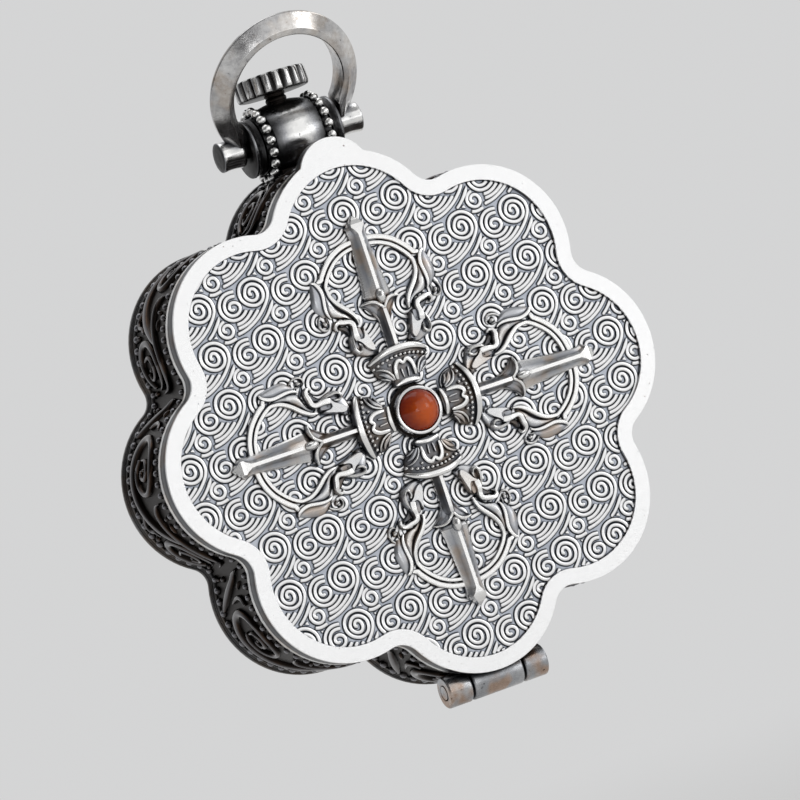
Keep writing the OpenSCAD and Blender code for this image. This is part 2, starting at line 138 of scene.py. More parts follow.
def rounded(path, blunt=1.0):
    """Round ends for a path of (u, v, half width, height): extra stations where it narrows."""
    s = length_along(path)
    total = s[-1]
    start, end = (min(path[i, 2] * blunt, total / 3) for i in (0, -1))
    near = np.array([0.0, 0.1, 0.35, 0.7])  # shares of the rounded stretch
    inner = s[(s > start * 1.05) & (s < total - end * 1.05)]
    at = np.concatenate([near * start, [start], inner, [total - end], total - near[::-1] * end])
    q = np.column_stack([np.interp(at, s, path[:, k]) for k in range(4)])
    swell = np.sqrt(1 - (1 - near) ** 2) + 0.06
    share = np.ones(len(at))
    share[: len(near)] = swell
    share[-len(near) :] = swell[::-1]
    q[:, 2] *= share
    q[:, 3] *= 0.45 + 0.55 * share
    return q


def both_halves(half):
    """The left half and its mirror image; a point in the middle isn't doubled."""
    return half + [(-p[0], *p[1:]) for p in half[::-1] if p[0]]


# Cross-sections of ribbons: share of the half width, share of the height, wear
OUTLINED = both_halves([(-1.5, 0, 0), (-1.46, 0.07, 0), (-1.04, 0.1, 0), (-0.86, 0.84, 0.85), (-0.4, 1, 1)])
SOFT = both_halves([(-1, 0, 0), (-0.93, 0.4, 0.2), (-0.72, 0.75, 0.7), (-0.38, 0.95, 1), (0, 1, 1)])
BROAD = both_halves([(-1.02, 0, 0), (-1, 0.5, 0.15), (-0.9, 0.86, 0.8), (-0.66, 0.985, 1), (0, 1.01, 1)])


def sweep(mesh, path, place, prof=SOFT, base=None, sink=0.06, shine=1.0):
    """A ribbon along path (u, v, half width, height) with a cross-section, standing on base(u, v)."""
    t = np.gradient(path[:, :2], axis=0)
    t /= np.maximum(np.hypot(t[:, 0], t[:, 1]), 1e-9)[:, None]
    across, up, wear = np.array(prof, float).T
    u = path[:, :1] - t[:, 1:] * path[:, 2:3] * across
    v = path[:, 1:2] + t[:, :1] * path[:, 2:3] * across
    h = path[:, 3:4] * up
    h = h + (base(u, v) if base else 0)
    h = np.where(up > 0, h, h - sink)
    skin(mesh, place(u, v, h), wear * shine)


def blob(mesh, u, v, ru, rv, h, place, turn=0.0, base=None, segs=12, rings=4, shine=1.0):
    """A half ellipsoid of radii ru and rv and height h, standing on the plane at (u, v)."""
    around = np.linspace(0, 2 * math.pi, segs, endpoint=False)
    up = np.linspace(0, math.pi / 2, rings + 1)[:-1]
    r = np.concatenate([[1.0], np.cos(up)])[:, None]
    z = np.concatenate([[-0.15], np.sin(up)])[:, None]
    x, y = r * np.cos(around) * ru, r * np.sin(around) * rv
    us = u + x * math.cos(turn) - y * math.sin(turn)
    vs = v + x * math.sin(turn) + y * math.cos(turn)
    foot = float(base(np.array(u), np.array(v))) if base else 0.0
    sides = place(us, vs, foot + z * h + 0 * us)
    top = place(np.array([[u]]), np.array([[v]]), np.array([[foot + h]])).reshape(1, 3)
    n, k = us.shape
    idx = np.arange(n * k).reshape(n, k)
    nxt = np.roll(idx, -1, 1)
    quads = np.column_stack([idx[:-1].ravel(), nxt[:-1].ravel(), nxt[1:].ravel(), idx[1:].ravel()])
    faces = quads.tolist() + [[int(idx[-1, j]), int(nxt[-1, j]), n * k] for j in range(k)]
    faces.append(idx[0][::-1].tolist())
    wear = np.concatenate([[0.0], 0.25 + 0.75 * np.sin(up)])
    wear = np.concatenate([np.repeat(wear, k), [1.0]])
    mesh.add(np.vstack([sides.reshape(-1, 3), top]), faces, wear * shine)


def plate(mesh, outline, place, low, high, inset=0.1, shine=0.8):
    """A flat-topped boss on an outline that runs counterclockwise."""
    p = np.asarray(outline, float)
    before, after = p - np.roll(p, 1, 0), np.roll(p, -1, 0) - p
    before /= np.hypot(*before.T)[:, None]
    after /= np.hypot(*after.T)[:, None]
    both = before + after
    inward = np.column_stack([-both[:, 1], both[:, 0]])
    inward /= np.maximum(np.hypot(*inward.T), 1e-6)[:, None]
    tall = high - low
    shoulder = high - tall * 0.12
    levels = [(0, low, 0), (0, low + tall * 0.6, 0.3), (inset * 0.4, shoulder, 0.8), (inset, high, 1)]
    pts, wear = [], []
    for shrink, h, worn in levels:
        q = p + inward * shrink
        pts.append(place(q[:, 0], q[:, 1], h + 0 * q[:, 0]))
        wear.append([worn * shine])
    skin(mesh, np.array(pts), np.array(wear), flip=True)


def revolve(mesh, profile, place, segs=64, wear=1.0):
    """A turned solid from (radius, along) points, put in place by place(radius, angle, along)."""
    r, x = np.asarray(profile, float).T[:, :, None]
    th = np.linspace(0, 2 * math.pi, segs, endpoint=False)
    pts = place(r + 0 * th, th + 0 * r, x + 0 * th)
    skin(mesh, pts, wear if np.ndim(wear) == 0 else np.asarray(wear)[:, None])


def piece(name, mesh, body, material, replaces=(), angle=35):
    """The finished object: it rides on a body and may stand in for nodes of the frame."""
    verts = (np.vstack(mesh.verts) - SEAT) * MM
    me = bpy.data.meshes.new(name)
    me.from_pydata(verts, [], mesh.faces)
    attr = me.attributes.new("wear", "FLOAT", "POINT")
    attr.data.foreach_set("value", np.concatenate(mesh.wear).astype(np.float32))
    me.polygons.foreach_set("use_smooth", np.ones(len(me.polygons), bool))
    me.set_sharp_from_angle(angle=math.radians(angle))
    me.materials.append(material)
    ob = bpy.data.objects.new(name, me)
    bpy.context.scene.collection.objects.link(ob)
    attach(ob, body)
    if replaces:
        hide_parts(*replaces)


# Placing


def on_lid(u, v, h):
    return np.stack([u + 0 * h, FIELD - h, v + 0 * h], -1)


def on_arm(quarter_turns):
    """The place of one arm of the vajra: v runs outwards, the first arm points up."""
    c, s = [(1, 0), (0, 1), (-1, 0), (0, -1)][quarter_turns]

    def place(u, v, h):
        return np.stack([u * c + v * s + 0 * h, FIELD - h + 0 * u, -u * s + v * c + 0 * h], -1)

    return place


def outline(off, n_lobe, n_valley):
    """Points and normals of the lobed outline moved outwards by off, from the right lobe's middle."""
    pts, normals = [], []
    for i in range(LOBES):
        a = i * STEP
        middle = LOBE_D * np.array([math.cos(a), math.sin(a)])
        for t in np.linspace(-BEND, BEND, n_lobe, endpoint=False):
            n = np.array([math.cos(a + t), math.sin(a + t)])
            pts.append(middle + (LOBE_R + off) * n)
            normals.append(n)
        middle = VALLEY_D * np.array([math.cos(a + STEP / 2), math.sin(a + STEP / 2)])
        for t in np.linspace(a + BEND, a + STEP - BEND, n_valley, endpoint=False):
            n = np.array([math.cos(t), math.sin(t)])
            pts.append(middle - (VALLEY_R - off) * n)
            normals.append(n)
    half = n_lobe // 2
    ring = [np.roll(np.array(rows), -half, 0) for rows in (pts, normals)]
    return [np.vstack([rows, rows[:1]]) for rows in ring]


WALL_OFF = -0.2  # the wall stands back from the lid's edge
wall_pts, wall_normals = outline(WALL_OFF, 160, 40)
wall_length = length_along(wall_pts)
AROUND = wall_length[-1]


def on_wall(y, s, h):
    """Depth y, distance s round the wall from the middle of the right lobe, height h off the wall."""
    s = np.mod(s + 0 * y, AROUND)
    x, z = (np.interp(s, wall_length, wall_pts[:, k]) for k in (0, 1))
    out_x, out_z = (np.interp(s, wall_length, wall_normals[:, k]) for k in (0, 1))
    return np.stack([x + out_x * h, y + 0 * s + 0 * h, z + out_z * h], -1)


def inside(x, z, off):
    """True where (x, z) lies inside the lobed outline moved outwards by off."""
    r, a = np.hypot(x, z), np.arctan2(z, x)
    t = np.abs((a + STEP / 2) % STEP - STEP / 2)
    px, pz = r * np.cos(t), r * np.sin(t)
    vx, vz = VALLEY_D * math.cos(STEP / 2), VALLEY_D * math.sin(STEP / 2)
    side = (vx - LOBE_D) * pz - vz * (px - LOBE_D)
    lobe = np.hypot(px - LOBE_D, pz) < LOBE_R + off
    valley = (np.hypot(px - vx, pz - vz) > VALLEY_R - off) & (r < VALLEY_D)
    return (r < VALLEY_D - VALLEY_R + off) | np.where(side <= 0, lobe, valley)


def round_barrel(r, th, x):
    """Round the barrel's axis, angle from the front over the top."""
    return np.stack([x, BARREL_Y - r * np.cos(th), BARREL_Z + r * np.sin(th)], -1)


def round_screw(r, th, z):
    """Round the screw's upright axis."""
    return np.stack([r * np.cos(th), BARREL_Y + r * np.sin(th), z], -1)


def round_stone(r, th, h):
    """Round the lid's middle, at a height above the field."""
    return np.stack([r * np.cos(th), FIELD - h, r * np.sin(th)], -1)


def bow_plane(x, y, z):
    """From the bow's own plane to its lean about the barrel's axis."""
    c, s = math.cos(BOW_LEAN), math.sin(BOW_LEAN)
    return np.stack([x + 0 * y + 0 * z, BARREL_Y + y * c - z * s, BARREL_Z + y * s + z * c], -1)


def round_pivot(r, th, x):
    """Round the barrel's axis in the leaning bow."""
    return bow_plane(x, -r * np.cos(th), r * np.sin(th))


def at_end(place, side):
    """A place mirrored to the left end (-1) or kept at the right end (1)."""
    return lambda r, th, x: place(r, -side * th, side * x)


# Shader nodes

BLACK, WHITE = (0, 0, 0), (1, 1, 1)


def nodes_of(mat):
    """The material's node tree and its Principled shader."""
    mat.use_nodes = True
    nt = mat.node_tree
    nt.nodes.clear()
    out = nt.nodes.new("ShaderNodeOutputMaterial")
    bsdf = nt.nodes.new("ShaderNodeBsdfPrincipled")
    nt.links.new(bsdf.outputs[0], out.inputs[0])
    return nt, bsdf


def feed(nt, socket, value):
    """A number or a colour set on a socket, or another node's output linked to it."""
    if isinstance(value, bpy.types.NodeSocket):
        nt.links.new(value, socket)
    else:
        socket.default_value = value


def feed_named(nt, n, **values):
    for name, value in values.items():
        feed(nt, n.inputs[name.replace("_", " ")], value)


def node(nt, kind, *inputs, **properties):
    """A new node with its properties set and its first inputs fed."""
    n = nt.nodes.new(kind)
    for name, value in properties.items():
        setattr(n, name, value)
    for socket, value in zip(n.inputs, inputs):
        feed(nt, socket, value)
    return n


def math_node(nt, op, a, b, clamp=False):
    return node(nt, "ShaderNodeMath", a, b, operation=op, use_clamp=clamp).outputs[0]


def plus(nt, a, b, clamp=False):
    return math_node(nt, "ADD", a, b, clamp)


def minus(nt, a, b):
    return math_node(nt, "SUBTRACT", a, b)


def times(nt, a, b):
    return math_node(nt, "MULTIPLY", a, b)


def swing(nt, fac, size):
    """A noise from 0 to 1, moved to swing about zero by half of size."""
    return times(nt, minus(nt, fac, 0.5), size)


def ramp(nt, fac, stops, mode="LINEAR"):
    """Colours at places from 0 to 1."""
    n = node(nt, "ShaderNodeValToRGB", fac)
    colours = n.color_ramp
    colours.interpolation = mode
    colours.elements.remove(colours.elements[-1])
    colours.elements[0].position, colours.elements[0].color = stops[0][0], (*stops[0][1], 1)
    for position, colour in stops[1:]:
        colours.elements.new(position).color = (*colour, 1)
    return n.outputs[0]


def blend(nt, share, a, b):
    """Colour a where share is 0, b where it is 1."""
    n = node(nt, "ShaderNodeMix", share, data_type="RGBA")
    feed(nt, n.inputs[6], a)
    feed(nt, n.inputs[7], b)
    return n.outputs[2]


def coordinates(nt):
    return node(nt, "ShaderNodeTexCoord").outputs["Object"]


def noise(nt, co, scale, detail=4.0, roughness=0.6):
    n = node(nt, "ShaderNodeTexNoise", co)
    feed_named(nt, n, Scale=scale, Detail=detail, Roughness=roughness)
    return n.outputs["Fac"]


# Silver


def patina(nt, clean_and_unshaded, dark, grey, bright):
    """From dark in the hollows over grey to bright where the silver is worn; the dark end shows patina and
    painted shade alike.
    """
    half_grey = tuple(0.45 * g for g in grey)
    return ramp(nt, clean_and_unshaded, [(0.0, dark), (0.38, half_grey), (0.62, grey), (0.92, bright)])


def on_face(nt, co, least):
    """1 on the lid's face, falling to least just behind it: the drop paints shade on the lid's sides."""
    depth = node(nt, "ShaderNodeSeparateXYZ", co)
    behind = times(nt, plus(nt, depth.outputs["Y"], SEAT[1] * MM), 1 / (2 * MM))
    fade = ramp(nt, behind, [(0.06, WHITE), (0.2, BLACK)])
    return plus(nt, times(nt, fade, 1 - least), least)


def silver(
    name, worn=None, bright=(0.93, 0.925, 0.91), grey=(0.42, 0.43, 0.45), dark=(0.028, 0.031, 0.038),
    rough=(0.24, 0.42), blotch=0.12, hollow_patina_and_shade=0.9, reach=0.4, scratch=0.35, grain=1.0, fleck=0.0,
    face=None, warm=None,
):
    """Silver with a dark patina in its hollows, deepened by painted shade from ambient occlusion, which
    also darkens it where nearby parts crowd it.

    worn sets the wear, or None reads the mesh's own; face is the share of it left behind the lid's face, a
    painted shade on the lid's sides.
    reach (millimetres) and the darkening share say how far and how much a hollow is darkened, by patina and
    painted shade.
    blotch, fleck, scratch and grain are marks; warm is a brown that takes grey's place in patches, partly
    tarnish and partly a painted reflection of brown surroundings.
    """
    mat = bpy.data.materials.new(name)
    nt, bsdf = nodes_of(mat)
    co = coordinates(nt)
    drawn_out = node(nt, "ShaderNodeMapping", co)
    feed_named(nt, drawn_out, Scale=(1.0, 1.0, 14.0), Rotation=(0.3, 0.5, 0.7))
    broad = noise(nt, co, 260.0, 3.0)
    fine = noise(nt, co, 2600.0, 5.0, 0.7)
    lines = noise(nt, drawn_out.outputs[0], 1500.0, 4.0, 0.65)

    wear = worn
    # The mesh's brightness share: wear, and in a few places painted shade or a painted highlight.
    if worn is None:
        wear = node(nt, "ShaderNodeAttribute", attribute_name="wear").outputs["Fac"]
    # Painted shade: the wear is cut on the lid's sides, just behind its face.
    if face is not None:
        wear = times(nt, wear, on_face(nt, co, face))
    # Ambient occlusion darkens the colour in hollows and where nearby parts crowd the surface: partly
    # patina, partly painted shade.
    hollow = node(nt, "ShaderNodeAmbientOcclusion", samples=6)
    feed_named(nt, hollow, Distance=reach * MM)
    clear_of_patina_and_shade = plus(nt, times(nt, hollow.outputs["AO"], hollow_patina_and_shade), 1 - hollow_patina_and_shade)
    clean_and_unshaded = plus(nt, times(nt, wear, clear_of_patina_and_shade), swing(nt, broad, blotch * 2))
    if fleck:
        spots = ramp(nt, noise(nt, co, 2600.0, 2.0, 0.5), [(0.24, WHITE), (0.3, BLACK)])
        clean_and_unshaded = minus(nt, clean_and_unshaded, times(nt, spots, fleck))
    clean_and_unshaded = plus(nt, clean_and_unshaded, swing(nt, fine, blotch), clamp=True)

    colour = patina(nt, clean_and_unshaded, dark, grey, bright)
    # The brown patches are partly tarnish and partly a painted reflection of brown surroundings.
    if warm:
        brown = patina(nt, clean_and_unshaded, tuple(0.1 * c for c in warm), warm, bright)
        patches = ramp(nt, noise(nt, co, 420.0, 2.0), [(0.46, BLACK), (0.62, WHITE)])
        colour = blend(nt, patches, colour, brown)
    dullness = plus(nt, times(nt, minus(nt, 1.0, clean_and_unshaded), rough[1] - rough[0]), rough[0])
    bump = node(nt, "ShaderNodeBump")
    height = plus(nt, times(nt, lines, scratch), times(nt, fine, grain * 0.4))
    feed_named(nt, bump, Strength=0.35, Distance=0.03 * MM, Height=height)
    feed_named(
        nt, bsdf, Base_Color=colour, Metallic=1.0, Normal=bump.outputs[0],
        Roughness=plus(nt, dullness, swing(nt, lines, 0.16), clamp=True),
    )
    return mat


# Brown for patches: partly tarnish, partly a painted reflection of brown surroundings.
BROWN = (0.5, 0.42, 0.36)
relief_silver = silver(
    "relief_silver", grey=(0.45, 0.465, 0.5), dark=(0.034, 0.037, 0.046), warm=BROWN,
    rough=(0.22, 0.46), reach=0.3, hollow_patina_and_shade=0.8,
)
spiral_silver = silver(
    "spiral_silver", bright=(0.94, 0.94, 0.945), rough=(0.3, 0.5), blotch=0.07, reach=0.2, hollow_patina_and_shade=0.5
)
# The field's ground is patina, deepened next to the spiral ridges by painted shade from ambient occlusion.
ground_silver = silver(
    "ground_patina_and_shade", worn=0.86, bright=(0.6, 0.63, 0.69), grey=(0.3, 0.33, 0.39), dark=(0.02, 0.023, 0.03),
    rough=(0.42, 0.6), blotch=0.16, reach=0.17, hollow_patina_and_shade=1.0, scratch=0.8,
)
# The lid's sides behind its face get painted shade (face=0.08).
rim_silver = silver(
    "rim_silver", worn=1.0, bright=(0.94, 0.94, 0.94), warm=(0.34, 0.25, 0.2), face=0.08,
    rough=(0.22, 0.36), blotch=0.05, hollow_patina_and_shade=0.3, scratch=0.6, fleck=0.45,
)
bead_silver = silver(
    "bead_silver", worn=0.95, rough=(0.26, 0.34), blotch=0.04, hollow_patina_and_shade=0.8, scratch=0.05, grain=0.05
)
bow_silver = silver(
    "bow_silver", worn=0.72, grey=(0.36, 0.355, 0.36), warm=(0.42, 0.36, 0.31),
    rough=(0.13, 0.3), blotch=0.3, reach=0.6, hollow_patina_and_shade=0.7, fleck=0.2,
)
knob_silver = silver(
    "knob_silver", grey=(0.3, 0.3, 0.305), dark=(0.016, 0.014, 0.013),
    rough=(0.14, 0.34), blotch=0.16, fleck=0.3,
)
satin_silver = silver(
    "satin_silver", worn=0.8, warm=BROWN,
    rough=(0.26, 0.4), blotch=0.16, reach=0.6, hollow_patina_and_shade=0.8, scratch=0.8, fleck=0.4,
)
grey_silver = silver("grey_silver", worn=0.55, rough=(0.3, 0.45), blotch=0.2, reach=1.0, hollow_patina_and_shade=0.8)
# Dark silver all over; on the shank and the vajra's hub it is painted shade.
oxidised_silver = silver(
    "oxidised_silver", worn=0.16, grey=(0.09, 0.077, 0.072), dark=(0.01, 0.008, 0.007),
    rough=(0.3, 0.45), blotch=0.1, reach=0.8, hollow_patina_and_shade=0.8,
)
drum_silver = silver(
    "drum_silver", grey=(0.36, 0.365, 0.38), dark=(0.018, 0.017, 0.017),
    rough=(0.16, 0.38), blotch=0.28, reach=0.6, grain=1.8, fleck=0.4,
)
# The side wall's brown is partly tarnish and partly a painted reflection of brown surroundings.
side_silver = silver(
    "side_silver", bright=(0.15, 0.145, 0.15), grey=(0.034, 0.027, 0.024), dark=(0.009, 0.007, 0.006),
    warm=(0.065, 0.042, 0.03), rough=(0.12, 0.3), blotch=0.16,
)
side_bead_silver = silver(
    "side_bead_silver", bright=(0.27, 0.27, 0.29), grey=(0.06, 0.055, 0.055), dark=(0.009, 0.007, 0.006),
    rough=(0.14, 0.3), reach=0.3, hollow_patina_and_shade=0.7,
)
hinge_silver = silver(
    "hinge_silver", worn=0.62, warm=(0.46, 0.34, 0.27),
    rough=(0.2, 0.38), blotch=0.26, reach=0.6, hollow_patina_and_shade=0.95, scratch=0.8, grain=2.0, fleck=0.5,
)
edge_silver = silver(
    "edge_silver", worn=0.42, grey=(0.22, 0.215, 0.215), warm=(0.22, 0.19, 0.17),
    rough=(0.24, 0.4), blotch=0.2, reach=1.0, hollow_patina_and_shade=0.8,
)
back_silver = silver(
    "back_silver", worn=0.76, rough=(0.3, 0.42), blotch=0.07, reach=1.2, hollow_patina_and_shade=0.85, scratch=1.4
)


# Spiral ground: one tile of spirals and waves, repeated over the field

TILE_UNIT = 0.004345  # millimetres in one unit of the tile's drawing, whose Y runs down
TILE_MIDDLE = (952, 345)
GREAT_SPIRAL = [
    (958, 362), (905, 350), (915, 280), (960, 255), (1020, 280), (1050, 345), (1045, 420), (1000, 475),
    (935, 485), (868, 458), (815, 400), (803, 325), (830, 250), (880, 190), (945, 165), (1025, 175),
    (1102, 220), (1155, 290), (1172, 370), (1160, 450), (1120, 520), (1050, 568), (960, 585), (870, 563),
    (790, 515), (730, 445), (700, 370), (698, 285), (720, 200), (770, 130), (840, 85), (930, 60),
    (1020, 62), (1110, 95), (1190, 160), (1245, 240), (1267, 330), (1262, 415), (1235, 490), (1185, 570),
    (1110, 660), (1010, 755), (900, 840), (780, 910), (660, 965), (540, 1000), (410, 1022),
]
TUCKED_SPIRAL = [
    (512, 512), (480, 545), (430, 520), (422, 468), (450, 420), (505, 402), (565, 415), (615, 455),
    (637, 520), (610, 590), (550, 637), (480, 652), (400, 632), (345, 575), (322, 495), (337, 400),
    (390, 325), (460, 290), (540, 284), (605, 298),
]
RING_ROUND_IT = [
    (740, 612), (680, 675), (590, 727), (490, 745), (390, 728), (300, 665), (240, 570), (222, 475),
    (240, 370), (300, 280), (385, 220), (480, 198), (560, 200), (612, 208),
]
UPPER_WAVE = [(848, 648), (770, 722), (680, 785), (580, 825), (455, 838)]
LOWER_WAVE = [(975, 675), (880, 757), (780, 828), (670, 880), (560, 908), (455, 918)]
SMALL_SPIRAL = [
    (232, 902), (190, 905), (160, 862), (180, 808), (238, 785), (302, 802), (343, 860), (350, 930),
    (315, 990), (255, 1022), (180, 1015), (112, 965), (78, 890), (90, 808), (142, 740), (232, 697),
]
SMALL_WAVE = [(95, 1088), (170, 1110), (260, 1108), (372, 1080)]
TILE_LINES = [GREAT_SPIRAL, TUCKED_SPIRAL, RING_ROUND_IT, UPPER_WAVE, LOWER_WAVE, SMALL_SPIRAL, SMALL_WAVE]
WEDGE = [
    (1308, 578, 14), (1262, 668, 38), (1185, 762, 36), (1100, 850, 34), (1020, 915, 34), (965, 950, 28),
]
FILLS = [[(180, 1180), (247, 1176), (213, 1232)], [(1062, 955), (1140, 908), (1160, 1000)]]
FIRST_TILE = np.array((-10.896, -11.335))
ACROSS, UP = np.array((4.997, 0.0)), np.array((0.061, 4.171))  # from one tile to the next
FARTHEST_TILE = 27.0
RIDGE_W, RIDGE_H = 0.158, 0.16
GROUND_EDGE = -1.27  # from the case's outline


def tile_mm(points):
    """Points of the tile's drawing in millimetres; a third column is a half width."""
    p = np.array(points, float)
    p[:, :2] = (p[:, :2] - TILE_MIDDLE) * (TILE_UNIT, -TILE_UNIT)
    p[:, 2:] *= TILE_UNIT
    return p


def counterclockwise(p):
    area = np.sum(p[:, 0] * np.roll(p[:, 1], -1) - np.roll(p[:, 0], -1) * p[:, 1])
    return p if area > 0 else p[::-1]


def tile_strokes():
    """The tile's ridges, as paths of (u, v, half width, height)."""
    strokes = []
    for points in TILE_LINES:
        q = spline(tile_mm(points), 0.125)
        strokes.append(np.column_stack([q, np.full((len(q), 2), (RIDGE_W, RIDGE_H))]))
    q = spline(tile_mm(WEDGE), 0.15)
    strokes.append(np.column_stack([q, np.full(len(q), RIDGE_H)]))
    return strokes


def lay_tile(mesh, at, strokes, fills):
    """One tile, cut off where it leaves the field."""
    for stroke in strokes:
        path = stroke.copy()
        path[:, :2] += at
        keep = inside(path[:, 0], path[:, 1], GROUND_EDGE).astype(int)
        turns = np.flatnonzero(np.diff(np.concatenate([[0], keep, [0]])))
        for start, end in turns.reshape(-1, 2):
            if end - start > 3:
                sweep(mesh, rounded(path[start:end], 0.8), on_lid, OUTLINED)
    for fill in fills:
        q = fill + at
        if inside(q[:, 0], q[:, 1], GROUND_EDGE - 0.08).all():
            plate(mesh, counterclockwise(q), on_lid, ROOT, RIDGE_H * 0.9, inset=0.05, shine=1.0)


def spiral_ground():
    """The ground in four pieces, one to a quarter of the field."""
    quarters = [Mesh() for _ in range(4)]
    strokes = tile_strokes()
    fills = [tile_mm(fill) for fill in FILLS]
    for i in range(-4, 9):
        for j in range(-4, 11):
            at = FIRST_TILE + i * ACROSS + j * UP
            if np.hypot(*at) <= FARTHEST_TILE:
                lay_tile(quarters[int(at[0] > 0) + 2 * int(at[1] > 0)], at, strokes, fills)
    for k, mesh in enumerate(quarters):
        piece("spiral_ground_%d" % (k + 1), mesh, "lid", spiral_silver)


spiral_ground()


# Double vajra: helpers


def loft(mesh, stations, place, side=0.62):
    """A ridged blade through stations (along, half width, edge height, half flat, ridge height)."""
    st = np.array(stations, float)
    dense = [st[0]]
    for a, b in zip(st[:-1], st[1:]):
        n = max(1, int(abs(b[0] - a[0]) / 0.5))
        dense += [a + (b - a) * (k + 1) / n for k in range(n)]
    along, wide, edge, flat, ridge = np.array(dense).T[:, :, None]
    shoulder = wide - (wide - flat) * 0.16
    hollow = shoulder - (shoulder - flat) * 0.5
    half_u = [wide, wide, shoulder, hollow, flat + 0.02, flat]
    tall = ridge - edge
    half_h = [0 * edge - 0.06, edge - 0.05, edge + tall * 0.12, edge + tall * 0.4, ridge - 0.04, ridge]
    u = np.hstack([-x for x in half_u] + half_u[::-1])
    h = np.hstack(half_h + half_h[::-1])
    ends = np.abs(np.linspace(-1, 1, len(dense)))[:, None] ** 1.5
    half_wear = [(0, 0), (0.95, 0), (side + 0.1, 0.15), (side - 0.08, 0.3), (side + 0.15, 0.15), (1, 0)]
    half_wear = np.hstack([level + more * ends for level, more in half_wear])
    outwards = along[0, 0] < along[-1, 0]
    skin(mesh, place(u, along + 0 * u, h), np.hstack([half_wear, half_wear[:, ::-1]]), flip=outwards)


def leaf(mesh, inner, outer, rows, place, step=0.2, n=26):
    """A leaf between two edges; rows are (share from inner to outer, height, wear)."""
    t = np.linspace(0, 1, n)
    edges = []
    for points in (inner, outer):
        p = spline(points, step)
        along = np.linspace(0, 1, len(p))
        edges.append(np.column_stack([np.interp(t, along, p[:, k]) for k in (0, 1)]))
    a, b = edges
    share, height, wear = np.array(rows, float).T
    u = a[:, :1] + (b - a)[:, :1] * share
    v = a[:, 1:] + (b - a)[:, 1:] * share
    ease = np.sqrt(np.sin(np.pi * np.clip(t, 0.02, 0.98)))[:, None]
    h = np.where(height > 0, height * (0.35 + 0.65 * ease), height)
    (ax, ay), (bx, by) = (b - a).T, np.gradient(a, axis=0).T
    skin(mesh, place(u, v, h), wear, flip=np.sum(ax * by - ay * bx) > 0)


def both_leaves(mesh, inner, outer, rows, arm):
    for s in (1, -1):
        leaf(mesh, [(s * x, y) for x, y in inner], [(s * x, y) for x, y in outer], rows, arm)


def line(points, step=0.12):
    """A ribbon's path with round ends, through points (u, v, half width, height)."""
    return rounded(spline(points, step))


def both(mesh, path, arm, **options):
    """A ribbon and its mirror image."""
    sweep(mesh, path, arm, **options)
    sweep(mesh, path[::-1] * (-1, 1, 1, 1), arm, **options)


def both_blobs(mesh, u, v, ru, rv, h, arm, turn=0.0, **options):
    for s in (1, -1):
        blob(mesh, s * u, v, ru, rv, h, arm, turn=s * turn, **options)


def both_plates(mesh, points, arm, high, inset, shine=0.8):
    p = counterclockwise(spline(points, 0.14, closed=True))
    plate(mesh, p, arm, ROOT, high, inset, shine)
    plate(mesh, (p * (-1, 1))[::-1], arm, ROOT, high, inset, shine)


def set_in(points, by, half_width, height):
    """A curve moved inwards, to its right, as points of a ribbon."""
    p = spline(points, 0.2)
    t = np.gradient(p, axis=0)
    t /= np.hypot(*t.T)[:, None]
    moved = np.column_stack([p[:, 0] + t[:, 1] * by, p[:, 1] - t[:, 0] * by])
    return [(u, v, half_width, height) for u, v in moved]


# Blades, with an arrow tip and a boss at the foot

BLADE = [
    (17.33, 0.07, 0.5, 0.04, 0.62), (17.0, 0.37, 0.62, 0.3, 0.98), (16.62, 0.74, 0.66, 0.56, 1.2),
    (16.38, 0.94, 0.55, 0.6, 1.25), (16.2, 0.85, 0.5, 0.42, 1.26), (15.75, 0.8, 0.5, 0.17, 1.26),
    (15.3, 0.81, 0.5, 0.15, 1.26), (13.0, 0.98, 0.5, 0.15, 1.26), (11.4, 1.12, 0.5, 0.15, 1.24),
    (10.4, 1.27, 0.48, 0.15, 1.2), (10.1, 1.14, 0.42, 0.14, 1.1), (9.55, 0.4, 0.3, 0.1, 0.8),
]
BOSS_FOOT = 1.12


def add_blade(mesh, arm):
    loft(mesh, BLADE, arm)
    blob(mesh, 0, 10.16, 0.4, 0.66, 0.6, arm, base=lambda u, v: BOSS_FOOT, segs=28, rings=8, shine=1.6)


# Leaf cups, on the blades' shafts

SHAFT = [
    (9.35, 0.2, 0.7, 0.1, 1.1), (9.0, 0.5, 0.6, 0.15, 1.2), (8.5, 0.55, 0.45, 0.16, 1.24),
    (7.6, 0.55, 0.4, 0.16, 1.26), (6.6, 0.55, 0.4, 0.15, 1.26), (5.4, 0.55, 0.4, 0.15, 1.2),
]
CUP_LIP = [
    (0.0, 9.05, 0.13, 1.26), (0.16, 9.32, 0.15, 1.26), (0.45, 9.66, 0.16, 1.2), (0.87, 9.87, 0.15, 1.1),
    (1.36, 9.9, 0.12, 0.95), (1.8, 9.8, 0.04, 0.75),
]
CUP_INNER = [(0.1, 9.0), (0.42, 9.55), (0.87, 9.8), (1.36, 9.84), (1.76, 9.8)]
CUP_OUTER = [(0.5, 7.7), (0.64, 8.4), (0.96, 8.95), (1.4, 9.5), (1.78, 9.76)]
CUP_ROWS = [
    (0, ROOT, 0), (0, 1.0, 0.75), (0.3, 0.66, 0.6), (0.72, 0.5, 0.68), (0.88, 0.62, 0.9), (1, 0.52, 0.6),
    (1, ROOT, 0),
]


def add_cup(mesh, arm):
    loft(mesh, SHAFT, arm, side=0.45)
    both(mesh, line(CUP_LIP), arm, prof=BROAD)
    both_leaves(mesh, CUP_INNER, CUP_OUTER, CUP_ROWS, arm)


# Prongs: a hoop of two ridges; the outer ends at the fin, the inner runs on as the head's horn

